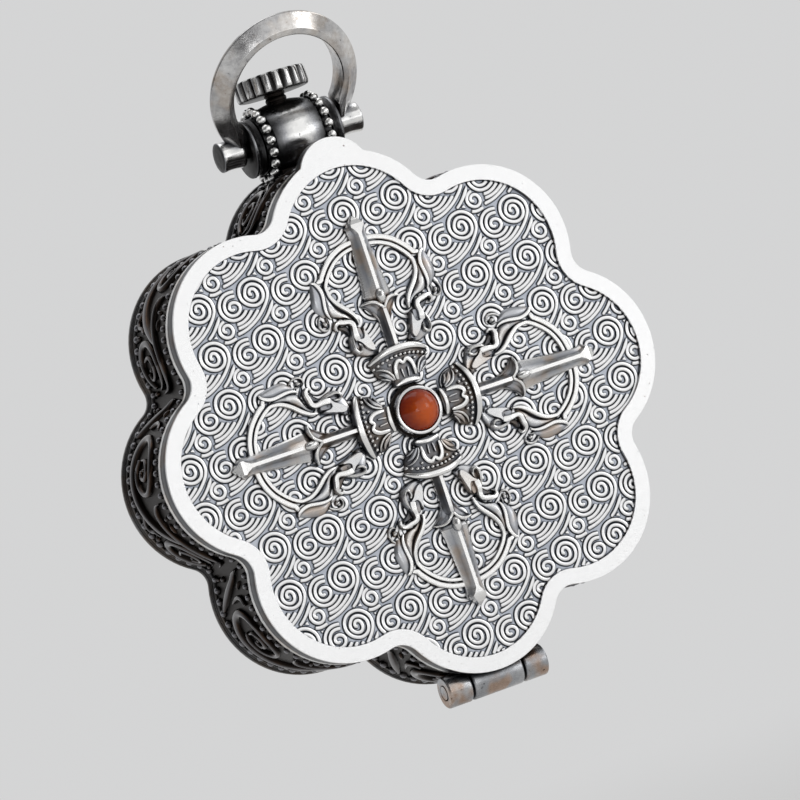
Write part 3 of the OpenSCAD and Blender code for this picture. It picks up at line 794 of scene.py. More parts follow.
HOOP = [
    (0.25, 15.5), (0.8, 15.48), (1.4, 15.4), (2.0, 15.24), (2.6, 14.98), (3.2, 14.62), (3.85, 14.04),
    (4.38, 13.42), (4.62, 13.05),
]
OUTER_END = [(4.72, 12.82, 0.2, 0.5), (4.88, 12.72, 0.12, 0.45)]
HORN = [
    (4.16, 12.3, 0.18, 0.46), (4.17, 11.9, 0.18, 0.48), (4.08, 11.35, 0.19, 0.52), (3.8, 10.8, 0.2, 0.56),
    (3.42, 10.32, 0.21, 0.62), (2.98, 9.84, 0.21, 0.66), (2.65, 9.38, 0.19, 0.68), (2.46, 8.92, 0.14, 0.68),
    (2.4, 8.45, 0.07, 0.6),
]
WEB_INNER = [
    (4.24, 12.3), (4.26, 11.9), (4.2, 11.3), (3.92, 10.7), (3.54, 10.2), (3.1, 9.74), (2.76, 9.3),
    (2.5, 8.7),
]
WEB_OUTER = [
    (4.45, 12.3), (4.58, 11.7), (4.68, 11.0), (4.7, 10.3), (4.5, 9.7), (3.95, 9.35), (3.35, 9.2), (2.8, 8.8)
]
WEB_ROWS = [
    (0, ROOT, 0), (0, 0.26, 0.1), (0.1, 0.2, 0.1), (0.3, 0.4, 0.7), (0.6, 0.46, 0.85), (0.86, 0.38, 0.7),
    (1, 0.24, 0.2), (1, ROOT, 0),
]


def add_prongs(mesh, arm):
    both(mesh, line(set_in(HOOP, 0.25, 0.24, 0.5) + OUTER_END), arm, prof=BROAD)
    both(mesh, line(set_in(HOOP, 0.75, 0.19, 0.46) + HORN), arm, prof=BROAD)
    both_leaves(mesh, WEB_INNER, WEB_OUTER, WEB_ROWS, arm)


# Fins: a leaf that slopes away from its bright edge, with a curl and a bead under it

FIN_EDGE = [
    (5.36, 12.95, 0.06, 0.45), (5.06, 12.8, 0.15, 0.52), (4.8, 12.35, 0.19, 0.54), (4.7, 11.8, 0.19, 0.54),
    (4.77, 11.2, 0.18, 0.54), (4.84, 10.7, 0.17, 0.54), (4.84, 10.2, 0.15, 0.52), (4.74, 9.8, 0.11, 0.48),
    (4.56, 9.54, 0.05, 0.4),
]
FIN_INNER = [(5.2, 12.9), (4.86, 12.3), (4.76, 11.7), (4.84, 11.0), (4.9, 10.4), (4.8, 9.85)]
FIN_OUTER = [(5.38, 12.98), (5.62, 12.4), (5.8, 11.75), (5.88, 11.03), (5.76, 10.5), (5.3, 9.86)]
FIN_ROWS = [
    (0, ROOT, 0), (0, 0.44, 0.3), (0.12, 0.36, 0.45), (0.35, 0.42, 0.66), (0.6, 0.4, 0.7),
    (0.82, 0.3, 0.66), (0.95, 0.18, 0.5), (1, 0.08, 0.2), (1, ROOT, 0),
]
FIN_CURL = [
    (5.4, 10.1, 0.1, 0.35), (5.68, 9.75, 0.13, 0.4), (5.78, 9.25, 0.14, 0.42), (5.58, 8.86, 0.14, 0.42),
    (5.2, 8.78, 0.1, 0.38), (4.98, 8.95, 0.05, 0.3),
]
FIN_STEM = [(4.95, 9.8, 0.08, 0.36), (5.02, 9.5, 0.08, 0.4), (4.96, 9.22, 0.06, 0.36)]


def add_fins(mesh, arm):
    both(mesh, line(FIN_EDGE), arm, prof=BROAD)
    both_leaves(mesh, FIN_INNER, FIN_OUTER, FIN_ROWS, arm)
    both_blobs(mesh, 5.26, 9.28, 0.22, 0.3, 0.6, arm, turn=-0.3, segs=18, rings=6)
    both(mesh, line(FIN_CURL), arm)
    both(mesh, line(FIN_STEM), arm)


# Makara heads: muzzle, cheek with its ear tip, trunk, ear curl, eye and teeth

MUZZLE = [
    (1.5, 5.85), (1.9, 5.5), (2.5, 5.56), (3.05, 5.8), (3.4, 5.95), (3.62, 6.4), (3.6, 6.95), (3.35, 7.4),
    (2.95, 7.5), (2.5, 7.2), (2.0, 7.0), (1.76, 6.5), (1.55, 6.25),
]
CHEEK = [
    (2.27, 8.14), (2.13, 7.75), (2.0, 7.3), (1.86, 6.78), (1.74, 6.3), (1.88, 5.94), (2.14, 5.94),
    (2.42, 6.18), (2.68, 6.48), (2.92, 6.86), (3.2, 7.1), (3.3, 7.4), (3.1, 7.5), (2.84, 7.3), (2.62, 7.24),
    (2.47, 7.45), (2.42, 7.85),
]
NECK = [(2.4, 7.1), (2.95, 7.1), (3.05, 7.6), (2.95, 8.1), (2.75, 8.3), (2.45, 8.2), (2.35, 7.6)]
TRUNK = [
    (3.0, 7.05, 0.26, 0.95), (3.1, 7.4, 0.34, 1.02), (3.12, 7.85, 0.3, 1.04), (3.06, 8.3, 0.26, 1.0),
    (3.06, 8.58, 0.25, 1.0), (3.2, 8.8, 0.25, 0.98), (3.44, 8.9, 0.24, 0.96), (3.72, 8.94, 0.24, 0.94),
    (4.02, 9.03, 0.23, 0.92), (4.28, 9.05, 0.21, 0.88), (4.5, 8.92, 0.18, 0.82), (4.6, 8.72, 0.15, 0.75),
    (4.5, 8.5, 0.11, 0.66), (4.34, 8.44, 0.06, 0.55),
]
# A low plate under the trunk, kept dark (shine 0.3) as the trunk's painted shadow.
TRUNK_SHADOW_PLATE = [
    (3.25, 7.6), (3.35, 8.3), (3.5, 8.6), (3.95, 8.7), (4.3, 8.75), (4.1, 8.4), (3.7, 8.1), (3.45, 7.7)
]
EAR = [
    (3.24, 7.95, 0.08, 0.8), (3.42, 7.6, 0.17, 0.95), (3.54, 7.2, 0.22, 1.02), (3.59, 6.78, 0.24, 1.08),
    (3.55, 6.42, 0.24, 1.1), (3.36, 6.16, 0.23, 1.1), (3.1, 6.2, 0.22, 1.08), (2.96, 6.47, 0.21, 1.06),
    (2.99, 6.78, 0.17, 1.02), (3.14, 6.94, 0.09, 0.9),
]
EAR_FOLD = [(3.3, 6.6, 0.06, 0.66), (3.24, 6.42, 0.08, 0.7), (3.27, 6.3, 0.05, 0.66)]
JAW = [(1.58, 6.02, 0.05, 0.7), (1.8, 5.84, 0.09, 0.8), (2.04, 5.76, 0.06, 0.74)]
MOUTH = [(1.8, 6.78, 0.03, 0.45), (1.92, 7.0, 0.05, 0.5), (2.03, 7.22, 0.03, 0.45)]


def add_heads(mesh, arm):
    both_plates(mesh, MUZZLE, arm, high=0.6, inset=0.2, shine=0.78)
    both_plates(mesh, CHEEK, arm, high=0.98, inset=0.09)
    both_plates(mesh, NECK, arm, high=0.74, inset=0.12, shine=0.6)
    both(mesh, line(TRUNK), arm, prof=BROAD)
    both_plates(mesh, TRUNK_SHADOW_PLATE, arm, high=0.3, inset=0.1, shine=0.3)
    both(mesh, line(EAR), arm)
    both(mesh, line(EAR_FOLD), arm, shine=0.7)
    both(mesh, line(JAW), arm)
    both(mesh, line(MOUTH), arm, shine=0.8)
    both_blobs(mesh, 2.69, 7.52, 0.14, 0.16, 0.86, arm, shine=0.8)
    both_blobs(mesh, 1.57, 6.47, 0.07, 0.09, 0.62, arm, segs=8, rings=3)


# Lotus collars: a rounded body with a lip, a row of beads, a palmette and side leaves

COLLAR_BODY = both_halves([
    (0.82, 2.36), (1.13, 2.43), (1.16, 2.75), (1.04, 2.98), (1.47, 3.15), (2.25, 3.46), (2.5, 4.15),
    (2.72, 4.85), (2.5, 5.15), (1.55, 5.5), (0.5, 5.72),
])
COLLAR_MIDDLE = (0, 4.1)
COLLAR_ROUND = 5.6  # radius of the body's face across the arm
COLLAR_SHELL = [(1.0, 0.8, 0.1), (0.97, 0.96, 0.3), (0.9, 1.0, 0.34), (0.6, 1.0, 0.4), (0.25, 1.0, 0.4)]
COLLAR_LIP = both_halves([
    (-2.78, 4.8, 0.1, 0.2), (-2.32, 5.08, 0.19, 0.27), (-1.7, 5.32, 0.24, 0.3), (-0.9, 5.5, 0.27, 0.31),
    (0, 5.55, 0.28, 0.31),
])
PALMETTE = both_halves([
    (-0.86, 2.95, 0.1, 0.1), (-0.88, 3.4, 0.16, 0.2), (-0.83, 3.95, 0.18, 0.22), (-0.6, 4.36, 0.19, 0.22),
    (-0.3, 4.47, 0.17, 0.22), (0, 4.2, 0.13, 0.18),
])
PALMETTE_STROKE = [(0.216, 2.98, 0.06, 0.06), (0.27, 3.35, 0.09, 0.12), (0.297, 3.8, 0.08, 0.12)]
OUTER_LEAF = [
    (1.1, 2.98, 0.08, 0.1), (1.2, 3.4, 0.13, 0.18), (1.5, 3.86, 0.14, 0.2), (1.98, 4.16, 0.11, 0.18),
    (2.38, 4.22, 0.04, 0.1),
]
MIDDLE_LEAF = [
    (1.2, 2.98, 0.08, 0.1), (1.52, 3.36, 0.2, 0.2), (1.85, 3.68, 0.2, 0.2), (2.26, 3.84, 0.05, 0.12)
]
LOWER_LEAF = [(1.45, 3.02, 0.06, 0.08), (1.8, 3.26, 0.11, 0.14), (2.18, 3.42, 0.05, 0.08)]
COLLAR_FOOT = both_halves([(-1.15, 2.5, 0.12, 0.2), (-0.6, 2.64, 0.17, 0.26), (0, 2.7, 0.18, 0.28)])


def collar_base(u, v):
    """Height of the collar's rounded face."""
    drop = COLLAR_ROUND - np.sqrt(np.maximum(COLLAR_ROUND**2 - np.asarray(u, float) ** 2, 0.01))
    return 1.12 - drop * 1.05


def foot_base(u, v):
    return collar_base(u, v) - 0.2


def collar_body(mesh, arm):
    edge = spline(COLLAR_BODY, 0.3, closed=True)
    shell, wear = [arm(edge[:, 0], edge[:, 1], ROOT + 0 * edge[:, 0])], [0]
    for size, share, worn in COLLAR_SHELL:
        q = COLLAR_MIDDLE + (edge - COLLAR_MIDDLE) * size
        shell.append(arm(q[:, 0], q[:, 1], (collar_base(q[:, 0], q[:, 1]) - 0.12) * share))
        wear.append(worn)
    skin(mesh, np.array(shell), np.array(wear)[:, None], flip=True)


def add_collar(mesh, arm):
    collar_body(mesh, arm)
    on_body = {"base": collar_base, "sink": 0.3}
    deep = {"base": collar_base, "sink": 0.4}
    sweep(mesh, line(COLLAR_LIP), arm, prof=BROAD, base=collar_base, sink=0.5)
    for u in np.linspace(-2.5, 2.5, 13):
        blob(mesh, u, 4.94 - 0.09 * u * u, 0.175, 0.175, 0.24, arm, base=collar_base, shine=1.5)
    sweep(mesh, line(PALMETTE), arm, prof=BROAD, **on_body)
    both(mesh, line(PALMETTE_STROKE), arm, shine=0.8, **on_body)
    both(mesh, line(OUTER_LEAF), arm, shine=0.85, **on_body)
    both(mesh, line(MIDDLE_LEAF), arm, shine=0.7, **deep)
    both(mesh, line(LOWER_LEAF), arm, shine=0.8, **deep)
    both_blobs(mesh, 1.18, 4.34, 0.16, 0.16, 0.22, arm, base=collar_base, shine=1.4)
    both_blobs(mesh, 2.05, 4.5, 0.1, 0.1, 0.12, arm, base=collar_base, segs=8, rings=3, shine=0.8)
    sweep(mesh, line(COLLAR_FOOT), arm, prof=BROAD, base=foot_base, sink=0.6)
    for u in np.linspace(-0.75, 0.75, 6):
        blob(mesh, u, 2.28 - 0.1 * u * u, 0.09, 0.09, 0.78, arm, segs=8, rings=3, shine=0.9)


# Each kind of relief: its function, the piece, the frame's node that it replaces, the angle of its creases
RELIEF = [
    (add_blade, "vajra_blades_cast", "vajra_blades", 14),
    (add_cup, "leaf_cups_cast", "leaf_cups", 24),
    (add_prongs, "prongs_cast", "vajra_prongs", 35),
    (add_fins, "fins_cast", "prong_fins", 35),
    (add_heads, "makara_heads_cast", "makara_heads", 35),
    (add_collar, "lotus_collars_cast", "lotus_collars", 35),
]
for add, name, replaced, crease in RELIEF:
    mesh = Mesh()
    for quarter_turns in range(4):
        add(mesh, on_arm(quarter_turns))
    piece(name, mesh, "lid", relief_silver, [replaced], crease)


# Bezel: a strip bent round, whose ends overlap at the upper right

BEZEL_SECTION = [
    (-0.17, 0.3), (-0.17, 1.28), (-0.12, 1.36), (0.0, 1.39), (0.1, 1.35), (0.16, 1.2), (0.13, 0.3)
]


def bezel():
    mesh = Mesh()
    turn = np.radians(np.linspace(50, 50 + 366, 100))[:, None]
    radius = np.linspace(1.93, 2.0, 100)[:, None]
    off, height = np.array(BEZEL_SECTION).T
    u, v = (radius + off) * np.cos(turn), (radius + off) * np.sin(turn)
    skin(mesh, on_lid(u, v, height + 0 * u), np.array([0.2, 0.8, 1, 1, 1, 0.8, 0.2]))
    piece("bezel_strip", mesh, "lid", rim_silver, ["bezel"])


bezel()


# Stone: a cabochon with a painted glow, paler where light gathers in it and darker towards its edge

STONE_R, GIRDLE_R = 1.77, 1.74
DOME = 1.0
GIRDLE_H = 1.35


def carnelian():
    mat = bpy.data.materials.new("carnelian")
    nt, bsdf = nodes_of(mat)
    co = coordinates(nt)
    # Painted glow: the colour is palest at a point near the dome's top and darkens away from it, towards
    # the edge.
    painted_glow_centre = (np.array([0.35, -1.9, -0.25]) - SEAT) * MM
    distance = node(nt, "ShaderNodeVectorMath", co, tuple(painted_glow_centre), operation="DISTANCE")
    near = plus(nt, times(nt, distance.outputs["Value"], -330.0), 0.75)
    glow = plus(nt, times(nt, noise(nt, co, 700.0, 5.0), 0.55), near, clamp=True)
    stops = [(0.08, (0.05, 0.004, 0.002)), (0.42, (0.26, 0.022, 0.003)), (0.85, (0.62, 0.1, 0.008))]
    feed_named(
        nt, bsdf, Base_Color=ramp(nt, glow, stops), Roughness=0.1, IOR=1.54, Specular_IOR_Level=0.28,
        Subsurface_Weight=0.12, Subsurface_Radius=(0.0008, 0.0002, 0.0001), Coat_Weight=0.12,
        Coat_Roughness=0.04,
    )
    return mat


def stone():
    mesh = Mesh()
    ball = (STONE_R**2 + DOME**2) / (2 * DOME)
    profile = [(1.72, 0.62), (GIRDLE_R, 1.2)]
    for t in np.linspace(math.asin(GIRDLE_R / ball), 0.02, 16):
        profile.append((ball * math.sin(t), GIRDLE_H + DOME - ball + ball * math.cos(t)))
    revolve(mesh, profile, round_stone)
    piece("cabochon", mesh, "lid", carnelian(), ["stone"])


stone()


# Side wall: two rows of beads and a running scroll

HINGE_ROOM = (5.1, 3.4)  # half width and height of the place at the hinge where the front beads stop


def bead_row(name, y, count, r, replaced, at_hinge):
    mesh = Mesh()
    for s in np.arange(count) * AROUND / count:
        x, _, z = on_wall(np.array(0.0), np.array(s), np.array(0.0))
        if at_hinge or z >= HINGE_Z + HINGE_ROOM[1] or abs(x) >= HINGE_ROOM[0]:
            blob(mesh, y, s, r, r * 0.92, r, on_wall, segs=10, rings=3)
    piece(name, mesh, "box", side_bead_silver, [replaced])


bead_row("front_beads", 3.05, 158, 0.36, "front_bead_wire", at_hinge=False)
bead_row("rear_beads", 10.45, 148, 0.42, "rear_bead_wire", at_hinge=True)

# Ribbons of one lobe's scroll: points (distance from the lobe's middle, depth, half width), then the height
VOLUTE_UNDER_STEM = ([
    (4.6, 5.0, 0.2), (3.9, 6.2, 0.34), (2.7, 7.7, 0.46), (0.9, 8.9, 0.52), (-1.2, 9.45, 0.55),
    (-3.3, 9.2, 0.52), (-4.8, 8.0, 0.46), (-5.2, 6.4, 0.4), (-4.5, 5.0, 0.34), (-3.1, 4.4, 0.3),
    (-1.6, 4.6, 0.28), (-0.6, 5.6, 0.27), (-0.5, 6.9, 0.26), (-1.3, 7.9, 0.24), (-2.5, 8.0, 0.2),
    (-3.4, 7.3, 0.12),
], 0.4)
ITS_CURL = ([
    (-3.3, 6.7, 0.12), (-3.2, 5.9, 0.2), (-2.4, 5.5, 0.24), (-1.7, 6.1, 0.24), (-1.9, 6.9, 0.2),
    (-2.5, 6.8, 0.12),
], 0.36)
FRONT_RIDGE = ([
    (0.6, 4.1, 0.08), (0.75, 5.0, 0.16), (1.4, 5.7, 0.24), (2.6, 5.7, 0.27), (4.2, 5.3, 0.3),
    (5.8, 4.9, 0.3), (7.3, 5.1, 0.28), (8.4, 5.9, 0.24), (8.75, 6.9, 0.1),
], 0.4)
VOLUTE_UNDER_RIDGE = ([
    (8.3, 7.7, 0.1), (7.6, 6.5, 0.24), (6.3, 5.95, 0.3), (5.0, 6.4, 0.34), (4.2, 7.6, 0.36),
    (4.3, 9.0, 0.38), (5.5, 9.75, 0.4), (7.0, 9.5, 0.36), (8.0, 8.6, 0.2),
], 0.38)
CURL_UNDER_RIDGE = ([
    (5.6, 8.7, 0.1), (5.3, 7.8, 0.2), (6.0, 7.1, 0.24), (6.9, 7.5, 0.24), (7.2, 8.3, 0.18),
    (6.6, 8.7, 0.12),
], 0.36)
FORK_LEAF = ([
    (-8.9, 4.5, 0.12), (-8.6, 5.5, 0.3), (-7.9, 6.5, 0.42), (-7.1, 7.7, 0.46), (-6.3, 8.9, 0.36),
    (-5.6, 9.8, 0.12),
], 0.38)
FORK_CURL = ([(-6.1, 6.9, 0.08), (-6.5, 5.7, 0.22), (-6.3, 4.7, 0.24), (-5.7, 4.2, 0.12)], 0.34)
REAR_CURL = ([
    (1.3, 9.6, 0.08), (0.95, 8.6, 0.1), (1.9, 9.9, 0.2), (2.6, 9.6, 0.22), (2.8, 8.8, 0.2),
    (3.3, 8.2, 0.12),
], 0.34)
SCROLL = [
    VOLUTE_UNDER_STEM, ITS_CURL, FRONT_RIDGE, VOLUTE_UNDER_RIDGE, CURL_UNDER_RIDGE, FORK_LEAF, FORK_CURL,
    REAR_CURL,
]
DOTS = [
    (-8.3, 8.6, 0.3), (-8.35, 9.6, 0.24), (3.5, 9.7, 0.26), (2.0, 4.2, 0.22), (-2.45, 6.25, 0.2),
    (6.4, 7.95, 0.2), (8.5, 9.4, 0.28),
]  # distance, depth, radius
SEEDS = [(-7.5, 5.0, 0.9), (3.0, 4.6, 0.1), (-0.2, 9.9, 0.0)]  # distance, depth, turn


def scroll_of_lobe(mesh, lobe):
    middle = lobe * AROUND / LOBES

    def place(u, v, h):
        return on_wall(v, middle + u, h)

    for points, height in SCROLL:
        path = spline([(s, y, w * 1.02, height) for s, y, w in points], 0.22)
        sweep(mesh, rounded(path), place, sink=0.1)
    for s, y, r in DOTS:
        blob(mesh, s, y, r, r, 0.36, place, segs=10, rings=3)
    for s, y, turn in SEEDS:
        blob(mesh, s, y, 0.55, 0.22, 0.26, place, turn=turn, rings=3, shine=0.8)


for first_lobe in (0, 1):
    mesh = Mesh()
    for lobe in range(first_lobe, LOBES, 2):
        scroll_of_lobe(mesh, lobe)
    piece("wall_scrolls_%d" % (first_lobe + 1), mesh, "box", side_silver)


# Barrel


def turned(mesh, rows, place, segs):
    """A turned solid from rows of (radius, along, wear)."""
    r, x, wear = np.array(rows, float).T
    revolve(mesh, np.column_stack([r, x]), place, segs, wear)


DRUM_R, DRUM_SWELL, DRUM_HALF, SWELL_HALF = 3.295, 0.35, 2.32, 2.24
DRUM_SEAT_Z = 23.15
DRUM_END = [(2.8, 2.33, 0.2), (2.52, 2.5, 0.05), (2.5, 3.1, 0.15), (2.3, 3.18, 0.1), (0.9, 3.18, 0)]


def seated(r, th, x):
    """Round the barrel, flat where it sits on the case."""
    p = round_barrel(r, -th, x)
    p[..., 2] = np.maximum(p[..., 2], DRUM_SEAT_Z)
    return p


def drum():
    mesh = Mesh()
    rows = [(r, -x, wear) for r, x, wear in DRUM_END[::-1]]
    for x in np.linspace(-SWELL_HALF, SWELL_HALF, 17):
        wear = 0.9 - 0.78 * (abs(x) / SWELL_HALF) ** 1.8
        rows.append((DRUM_R - DRUM_SWELL * (x / DRUM_HALF) ** 2, x, wear))
    turned(mesh, rows + DRUM_END, seated, 120)
    piece("drum", mesh, "box", drum_silver, ["barrel_drum"])


DOT_R, DOT_ROW_R, DOT_ROW_X, DOTS_IN_ROW = 0.42, 3.0, 2.76, 18


def barrel_dots():
    mesh = Mesh()
    arc = np.linspace(0.02, math.pi - 0.02, 14)
    ball = np.column_stack([DOT_R * np.sin(arc), DOT_R * np.cos(arc)])
    for s in (-1, 1):
        for turn in np.arange(DOTS_IN_ROW) * 2 * math.pi / DOTS_IN_ROW:
            centre = round_barrel(DOT_ROW_R, turn, s * DOT_ROW_X)

            def place(r, th, x):
                return centre + np.stack([x, r * np.cos(th), r * np.sin(th)], -1)

            revolve(mesh, ball, place, 20, 0.95)
    piece("barrel_dots", mesh, "box", bead_silver, ["barrel_beads"])


# Radius, along and wear: the band of higher wear at the flare is a painted highlight.
END_COLLAR = [
    (0.86, 3.24, 0), (2.4, 3.24, 0.05), (2.5, 3.3, 0.15), (2.4, 3.45, 0.1), (2.32, 3.58, 0.08),
    (2.38, 3.8, 0.15), (2.5, 3.92, 0.4), (2.545, 4.02, 0.5), (2.53, 4.16, 0.3), (2.44, 4.22, 0.05),
    (0.86, 4.22, 0),
]
# Radius, along and wear: both end faces are kept dark as painted shade.
FERRULE = [
    (0.83, 4.52, 0), (1.1, 4.52, 0.2), (1.28, 4.58, 0.6), (1.34, 4.72, 0.95), (1.34, 4.9, 0.9),
    (1.29, 5.3, 0.85), (1.27, 5.8, 0.85), (1.31, 6.3, 0.95), (1.345, 6.5, 1), (1.31, 6.64, 0.6),
    (1.2, 6.7, 0.12), (0.83, 6.7, 0.04),
]
# Radius, along and wear: the end disc is kept dark as painted shade.
PIN = [
    (0.3, 2.9, 0), (0.78, 2.9, 0.1), (0.78, 6.6, 0.2), (0.72, 6.68, 0.1), (0.5, 6.7, 0.06),
    (0.05, 6.705, 0.06),
]


def at_both_ends(name, rows, place, segs, body, replaced):
    """A turned piece at each end of the barrel."""
    mesh = Mesh()
    for s in (-1, 1):
        turned(mesh, rows, at_end(place, s), segs)
    piece(name, mesh, body, drum_silver, [replaced])


drum()
barrel_dots()
at_both_ends("end_collars", END_COLLAR, round_barrel, 72, "box", "barrel_collars")


# Bow: flat inner strips front and back, an outer cone on each side, a thin outer edge

BOW_MIDDLE = 4.95  # of the ring's arcs, over the pivot
BOW_INNER_R, BOW_OUTER_R = 5.18, 6.99
INNER_DROP, OUTER_DROP = 49.6, 34.3  # degrees that the arcs run on below their middle
BOW_LEG_X = 4.53  # where the inside runs straight down to the ferrules
BOW_SECTION_HALF = [
    (0, -0.9), (0.015, -1.0), (0.06, -1.07), (0.12, -1.09), (0.3, -1.09), (0.335, -1.08), (0.37, -1.04),
    (0.66, -0.6), (0.94, -0.21), (0.98, -0.15), (0.998, -0.08),
]  # share from the inside to the outside, depth


def bow_arc(radius, drop):
    turn = np.radians(np.linspace(180 + drop, -drop, 97))[:, None]
    return radius * np.cos(turn), BOW_MIDDLE + radius * np.sin(turn)


def bow():
    mesh = Mesh()
    section = BOW_SECTION_HALF + [(share, -depth) for share, depth in BOW_SECTION_HALF[::-1]]
    share, depth = np.array(section).T
    inner_x, inner_z = bow_arc(BOW_INNER_R, INNER_DROP)
    leg = np.sign(inner_x) * np.maximum(np.abs(inner_x), BOW_LEG_X)
    inner_x = np.where(inner_z < BOW_MIDDLE, leg, inner_x)
    outer_x, outer_z = bow_arc(BOW_OUTER_R, OUTER_DROP)
    x = inner_x + (outer_x - inner_x) * share
    z = inner_z + (outer_z - inner_z) * share
    skin(mesh, bow_plane(x, depth + 0 * x, z), 0.95, flip=True)
    piece("bow_band", mesh, "bow", bow_silver, ["bow_ring"], 24)


bow()
at_both_ends("ferrules", FERRULE, round_pivot, 56, "bow", "bow_ferrules")
at_both_ends("pins", PIN, round_barrel, 32, "bow", "pivot_pins")


# Lock screw

FLUTES, FLUTE_DEPTH = 20, 0.26
KNOB_UNDERSIDE = 29.8  # below this height the knob is painted dark, as shade on its underside
KNOB = [
    (0.97, 29.71, 0), (2.95, 29.71, 0), (3.1, 29.75, 0.6), (3.2, 29.86, 1), (3.245, 30.05, 1),
    (3.245, 31.2, 1), (3.2, 31.38, 1), (3.06, 31.47, 0.6), (2.88, 31.49, 0), (2.4, 31.49, 0),
    (0.3, 31.49, 0),
]  # radius, height, share of the flutes' depth
SHANK_R, ROOT_R = 0.94, 0.84
SHANK_LOW, THREAD_LOW, SHANK_TOP = 20.97, 21.2, 30.88
PITCH, TURNS = 0.5, 18


def knob():
    mesh = Mesh()
    th = np.linspace(0, 2 * math.pi, FLUTES * 14, endpoint=False)
    flute = (np.cos(FLUTES * th) * 0.5 + 0.5) ** 2.2
    pts, wear = [], []
    for r, z, share in KNOB:
        pts.append(round_screw(r - FLUTE_DEPTH * share * flute, th, np.full_like(th, z)))
        # Painted shade: below the underside's height the knob gets no wear and shows dark.
        clear_of_patina_and_shade = 0.8 if z > KNOB_UNDERSIDE else 0.0
        wear.append(np.clip(clear_of_patina_and_shade - 0.8 * flute * share, 0, 1))
    skin(mesh, np.array(pts), np.array(wear))
    piece("fluted_knob", mesh, "knob", knob_silver, ["lock_knob"])


def shank():
    mesh = Mesh()
    profile = [(0.2, SHANK_LOW), (0.7, SHANK_LOW), (SHANK_R, THREAD_LOW)]
    for k in range(TURNS):
        z = THREAD_LOW + k * PITCH
        profile += [(SHANK_R, z + 0.1), (ROOT_R, z + 0.25), (SHANK_R, z + 0.4)]
    profile += [(SHANK_R, SHANK_TOP), (0.2, SHANK_TOP)]
    # The shank is kept nearly black as painted shade between the knob and the drum.
    revolve(mesh, profile, round_screw, 40, 0.05)
    piece("threaded_shank", mesh, "screw", oxidised_silver, ["lock_shank"])


knob()
shank()


# Nodes of the frame that stay

KEPT = [
    ("lid_frame", rim_silver, 0.16), ("field_plate", ground_silver, 0), ("lid_skirt", grey_silver, 0),
    ("lock_tongue", grey_silver, 0), ("lid_knuckle", hinge_silver, 0.2),
    ("case_knuckles", hinge_silver, 0.2), ("hinge_pin", hinge_silver, 0), ("case_lip", satin_silver, 0.08),
    ("case_wall", oxidised_silver, 0), ("back_flange", edge_silver, 0.1), ("back_plate", back_silver, 0),
    # The vajra's hub is dressed dark as painted shade beside the bezel.
    ("barrel_saddle", oxidised_silver, 0), ("vajra_hub", oxidised_silver, 0),
]  # node, material, bevel in millimetres


def dress(name, material, bevel):
    """Material and bevel of a node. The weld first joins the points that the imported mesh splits."""
    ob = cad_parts[name]
    ob.data.materials.clear()
    ob.data.materials.append(material)
    for slot in ob.material_slots:
        slot.material = material
    if bevel:
        weld = ob.modifiers.new("weld", "WELD")
        weld.merge_threshold = 0.002 * MM
        soft = ob.modifiers.new("bevel", "BEVEL")
        soft.width = bevel * MM
        soft.segments = 3
        soft.limit_method = "ANGLE"
        soft.angle_limit = math.radians(40)
        soft.use_clamp_overlap = True
        soft.harden_normals = True


for name, material, bevel in KEPT:
    dress(name, material, bevel)


# Stage in metres: a pale floor that fades into the studio's grey

OPEN_LID = 0.046  # how far the lid reaches below the box when it hangs open
FLOOR_RINGS, FLOOR_SEGS = (0.3, 1.2, 6.0), 96
STUDIO_GREY = (0.66, 0.662, 0.665)
BRIGHT_SIDE = (0.6, 0.68, 0.42)  # the direction in which the surroundings are palest


def disc(radii, segs):
    """Points and faces of a flat disc in rings."""
    turn = np.linspace(0, 2 * math.pi, segs, endpoint=False)
    ring = np.column_stack([np.cos(turn), np.sin(turn), 0 * turn])
    faces = []
    for i in range(1, segs + 1):
        j = i % segs + 1
        faces.append((0, i, j))
        for inner in range(0, (len(radii) - 1) * segs, segs):
            outer = inner + segs
            faces.append((i + inner, i + outer, j + outer, j + inner))
    return np.vstack([np.zeros((1, 3))] + [r * ring for r in radii]), faces


def floor_paper():
    mat = bpy.data.materials.new("floor_paper")
    nt, bsdf = nodes_of(mat)
    co = coordinates(nt)
    tones = [(0.3, (0.79, 0.785, 0.775)), (0.7, (0.82, 0.815, 0.805))]
    paper = ramp(nt, noise(nt, co, 900.0, 3.0, 0.5), tones)
    feed_named(nt, bsdf, Base_Color=paper, Roughness=0.9, Specular_IOR_Level=0.1)
    distance = node(nt, "ShaderNodeVectorMath", co, operation="LENGTH")
    far = ramp(nt, distance.outputs["Value"], [(0.05, BLACK), (0.45, WHITE)], "EASE")
    ray = node(nt, "ShaderNodeLightPath").outputs
    mirrored = math_node(nt, "MAXIMUM", ray["Is Glossy Ray"], ray["Is Transmission Ray"])
    seen = math_node(nt, "MAXIMUM", ray["Is Camera Ray"], mirrored)
    glow = node(nt, "ShaderNodeEmission", (*STUDIO_GREY, 1), 1.0)
    mix = node(nt, "ShaderNodeMixShader", times(nt, far, seen), bsdf.outputs[0], glow.outputs[0])
    nt.links.new(mix.outputs[0], nt.nodes["Material Output"].inputs[0])
    return mat


def lay_floor():
    me = bpy.data.meshes.new("floor")
    points, faces = disc(FLOOR_RINGS, FLOOR_SEGS)
    me.from_pydata(points, [], faces)
    me.materials.append(floor_paper())
    floor = bpy.data.objects.new("floor", me)
    floor.location = (0, 0, float(cad_box[0][2]) - OPEN_LID - 0.0001)
    bpy.context.scene.collection.objects.link(floor)


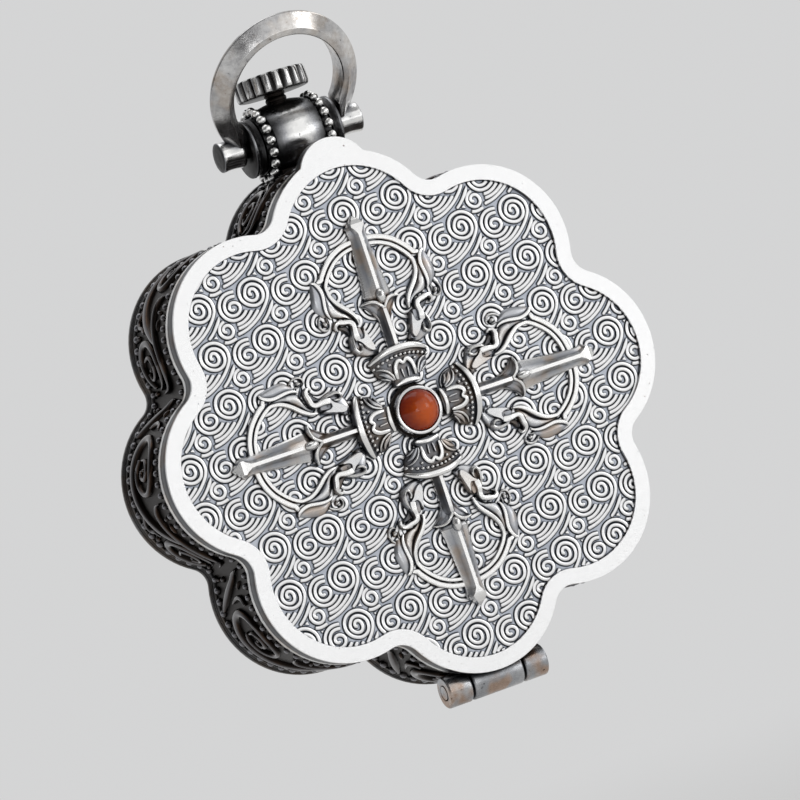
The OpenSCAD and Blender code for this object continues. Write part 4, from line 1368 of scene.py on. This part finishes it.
def studio():
    """The surroundings: pale behind the box, dark towards the viewer."""
    world = bpy.data.worlds.new("studio")
    bpy.context.scene.world = world
    world.use_nodes = True
    nt = world.node_tree
    direction = node(nt, "ShaderNodeTexCoord").outputs["Generated"]
    facing = node(nt, "ShaderNodeVectorMath", direction, BRIGHT_SIDE, operation="DOT_PRODUCT")
    shade = plus(nt, times(nt, facing.outputs["Value"], 0.5), 0.5, clamp=True)
    greys = [(0.0, (0.1, 0.1, 0.102)), (0.45, (0.2, 0.201, 0.204)), (0.78, STUDIO_GREY)]
    nt.links.new(ramp(nt, shade, greys), nt.nodes["Background"].inputs[0])


lay_floor()
studio()


# Lights, all turned to the middle of the lid; lengths in metres

LIT_POINT = Vector((0, -0.003, -0.035))
LAMPS = [
    ("front", (0.42, -0.88, 0.12), 0.6, (0.76, 0.8), 0.7),
    ("left_window", (-0.19, -0.97, 0.02), 0.6, (0.12, 0.13), 2.4),
    ("right_window", (0.69, -0.69, 0.12), 0.6, (0.14, 0.16), 2.4),
    ("key", (0.95, -0.05, 0.45), 0.5, (0.26, 0.26), 1.25),
    ("top", (0.05, 0.1, 1.0), 0.5, (0.4, 0.4), 1.0),
]  # name, direction, distance, size, radiance


def lamp(name, direction, distance, size, radiance):
    light = bpy.data.lights.new(name, "AREA")
    light.shape = "RECTANGLE"
    light.size, light.size_y = size
    light.energy = radiance * math.pi * size[0] * size[1]
    ob = bpy.data.objects.new(name, light)
    away = Vector(direction).normalized()
    ob.location = LIT_POINT + away * distance
    ob.rotation_euler = (-away).to_track_quat("-Z", "Y").to_euler()
    bpy.context.scene.collection.objects.link(ob)


for settings in LAMPS:
    lamp(*settings)


# Camera, at the photograph's angle

VIEW_AZIMUTH, VIEW_HEIGHT, VIEW_ROLL = (math.radians(a) for a in (-21.39, 0.066, -18.454))
AIM = np.array([-1.037, 0.0, 1.278])  # millimetres, where the middle of the picture meets the lid's face
AIM_DISTANCE = 401.43
SENSOR = 36.0
FOCAL = 4748 / 800  # focal length in widths of the picture


def camera():
    a, e = VIEW_AZIMUTH, VIEW_HEIGHT
    back = np.array([math.sin(a) * math.cos(e), -math.cos(a) * math.cos(e), math.sin(e)])
    level = np.array([math.cos(a), math.sin(a), 0.0])
    right = level * math.cos(VIEW_ROLL) + np.cross(back, level) * math.sin(VIEW_ROLL)
    matrix = np.eye(4)
    matrix[:3, :3] = np.column_stack([right, np.cross(back, right), back])
    matrix[:3, 3] = (AIM + back * AIM_DISTANCE - SEAT) * MM
    data = bpy.data.cameras.new("camera")
    data.sensor_width = SENSOR
    data.lens = FOCAL * SENSOR
    data.clip_start, data.clip_end = 0.01, 50.0
    ob = bpy.data.objects.new("camera", data)
    bpy.context.scene.collection.objects.link(ob)
    ob.matrix_world = Matrix(matrix.tolist())
    bpy.context.scene.camera = ob


camera()
bpy.context.scene.view_settings.view_transform = "Standard"
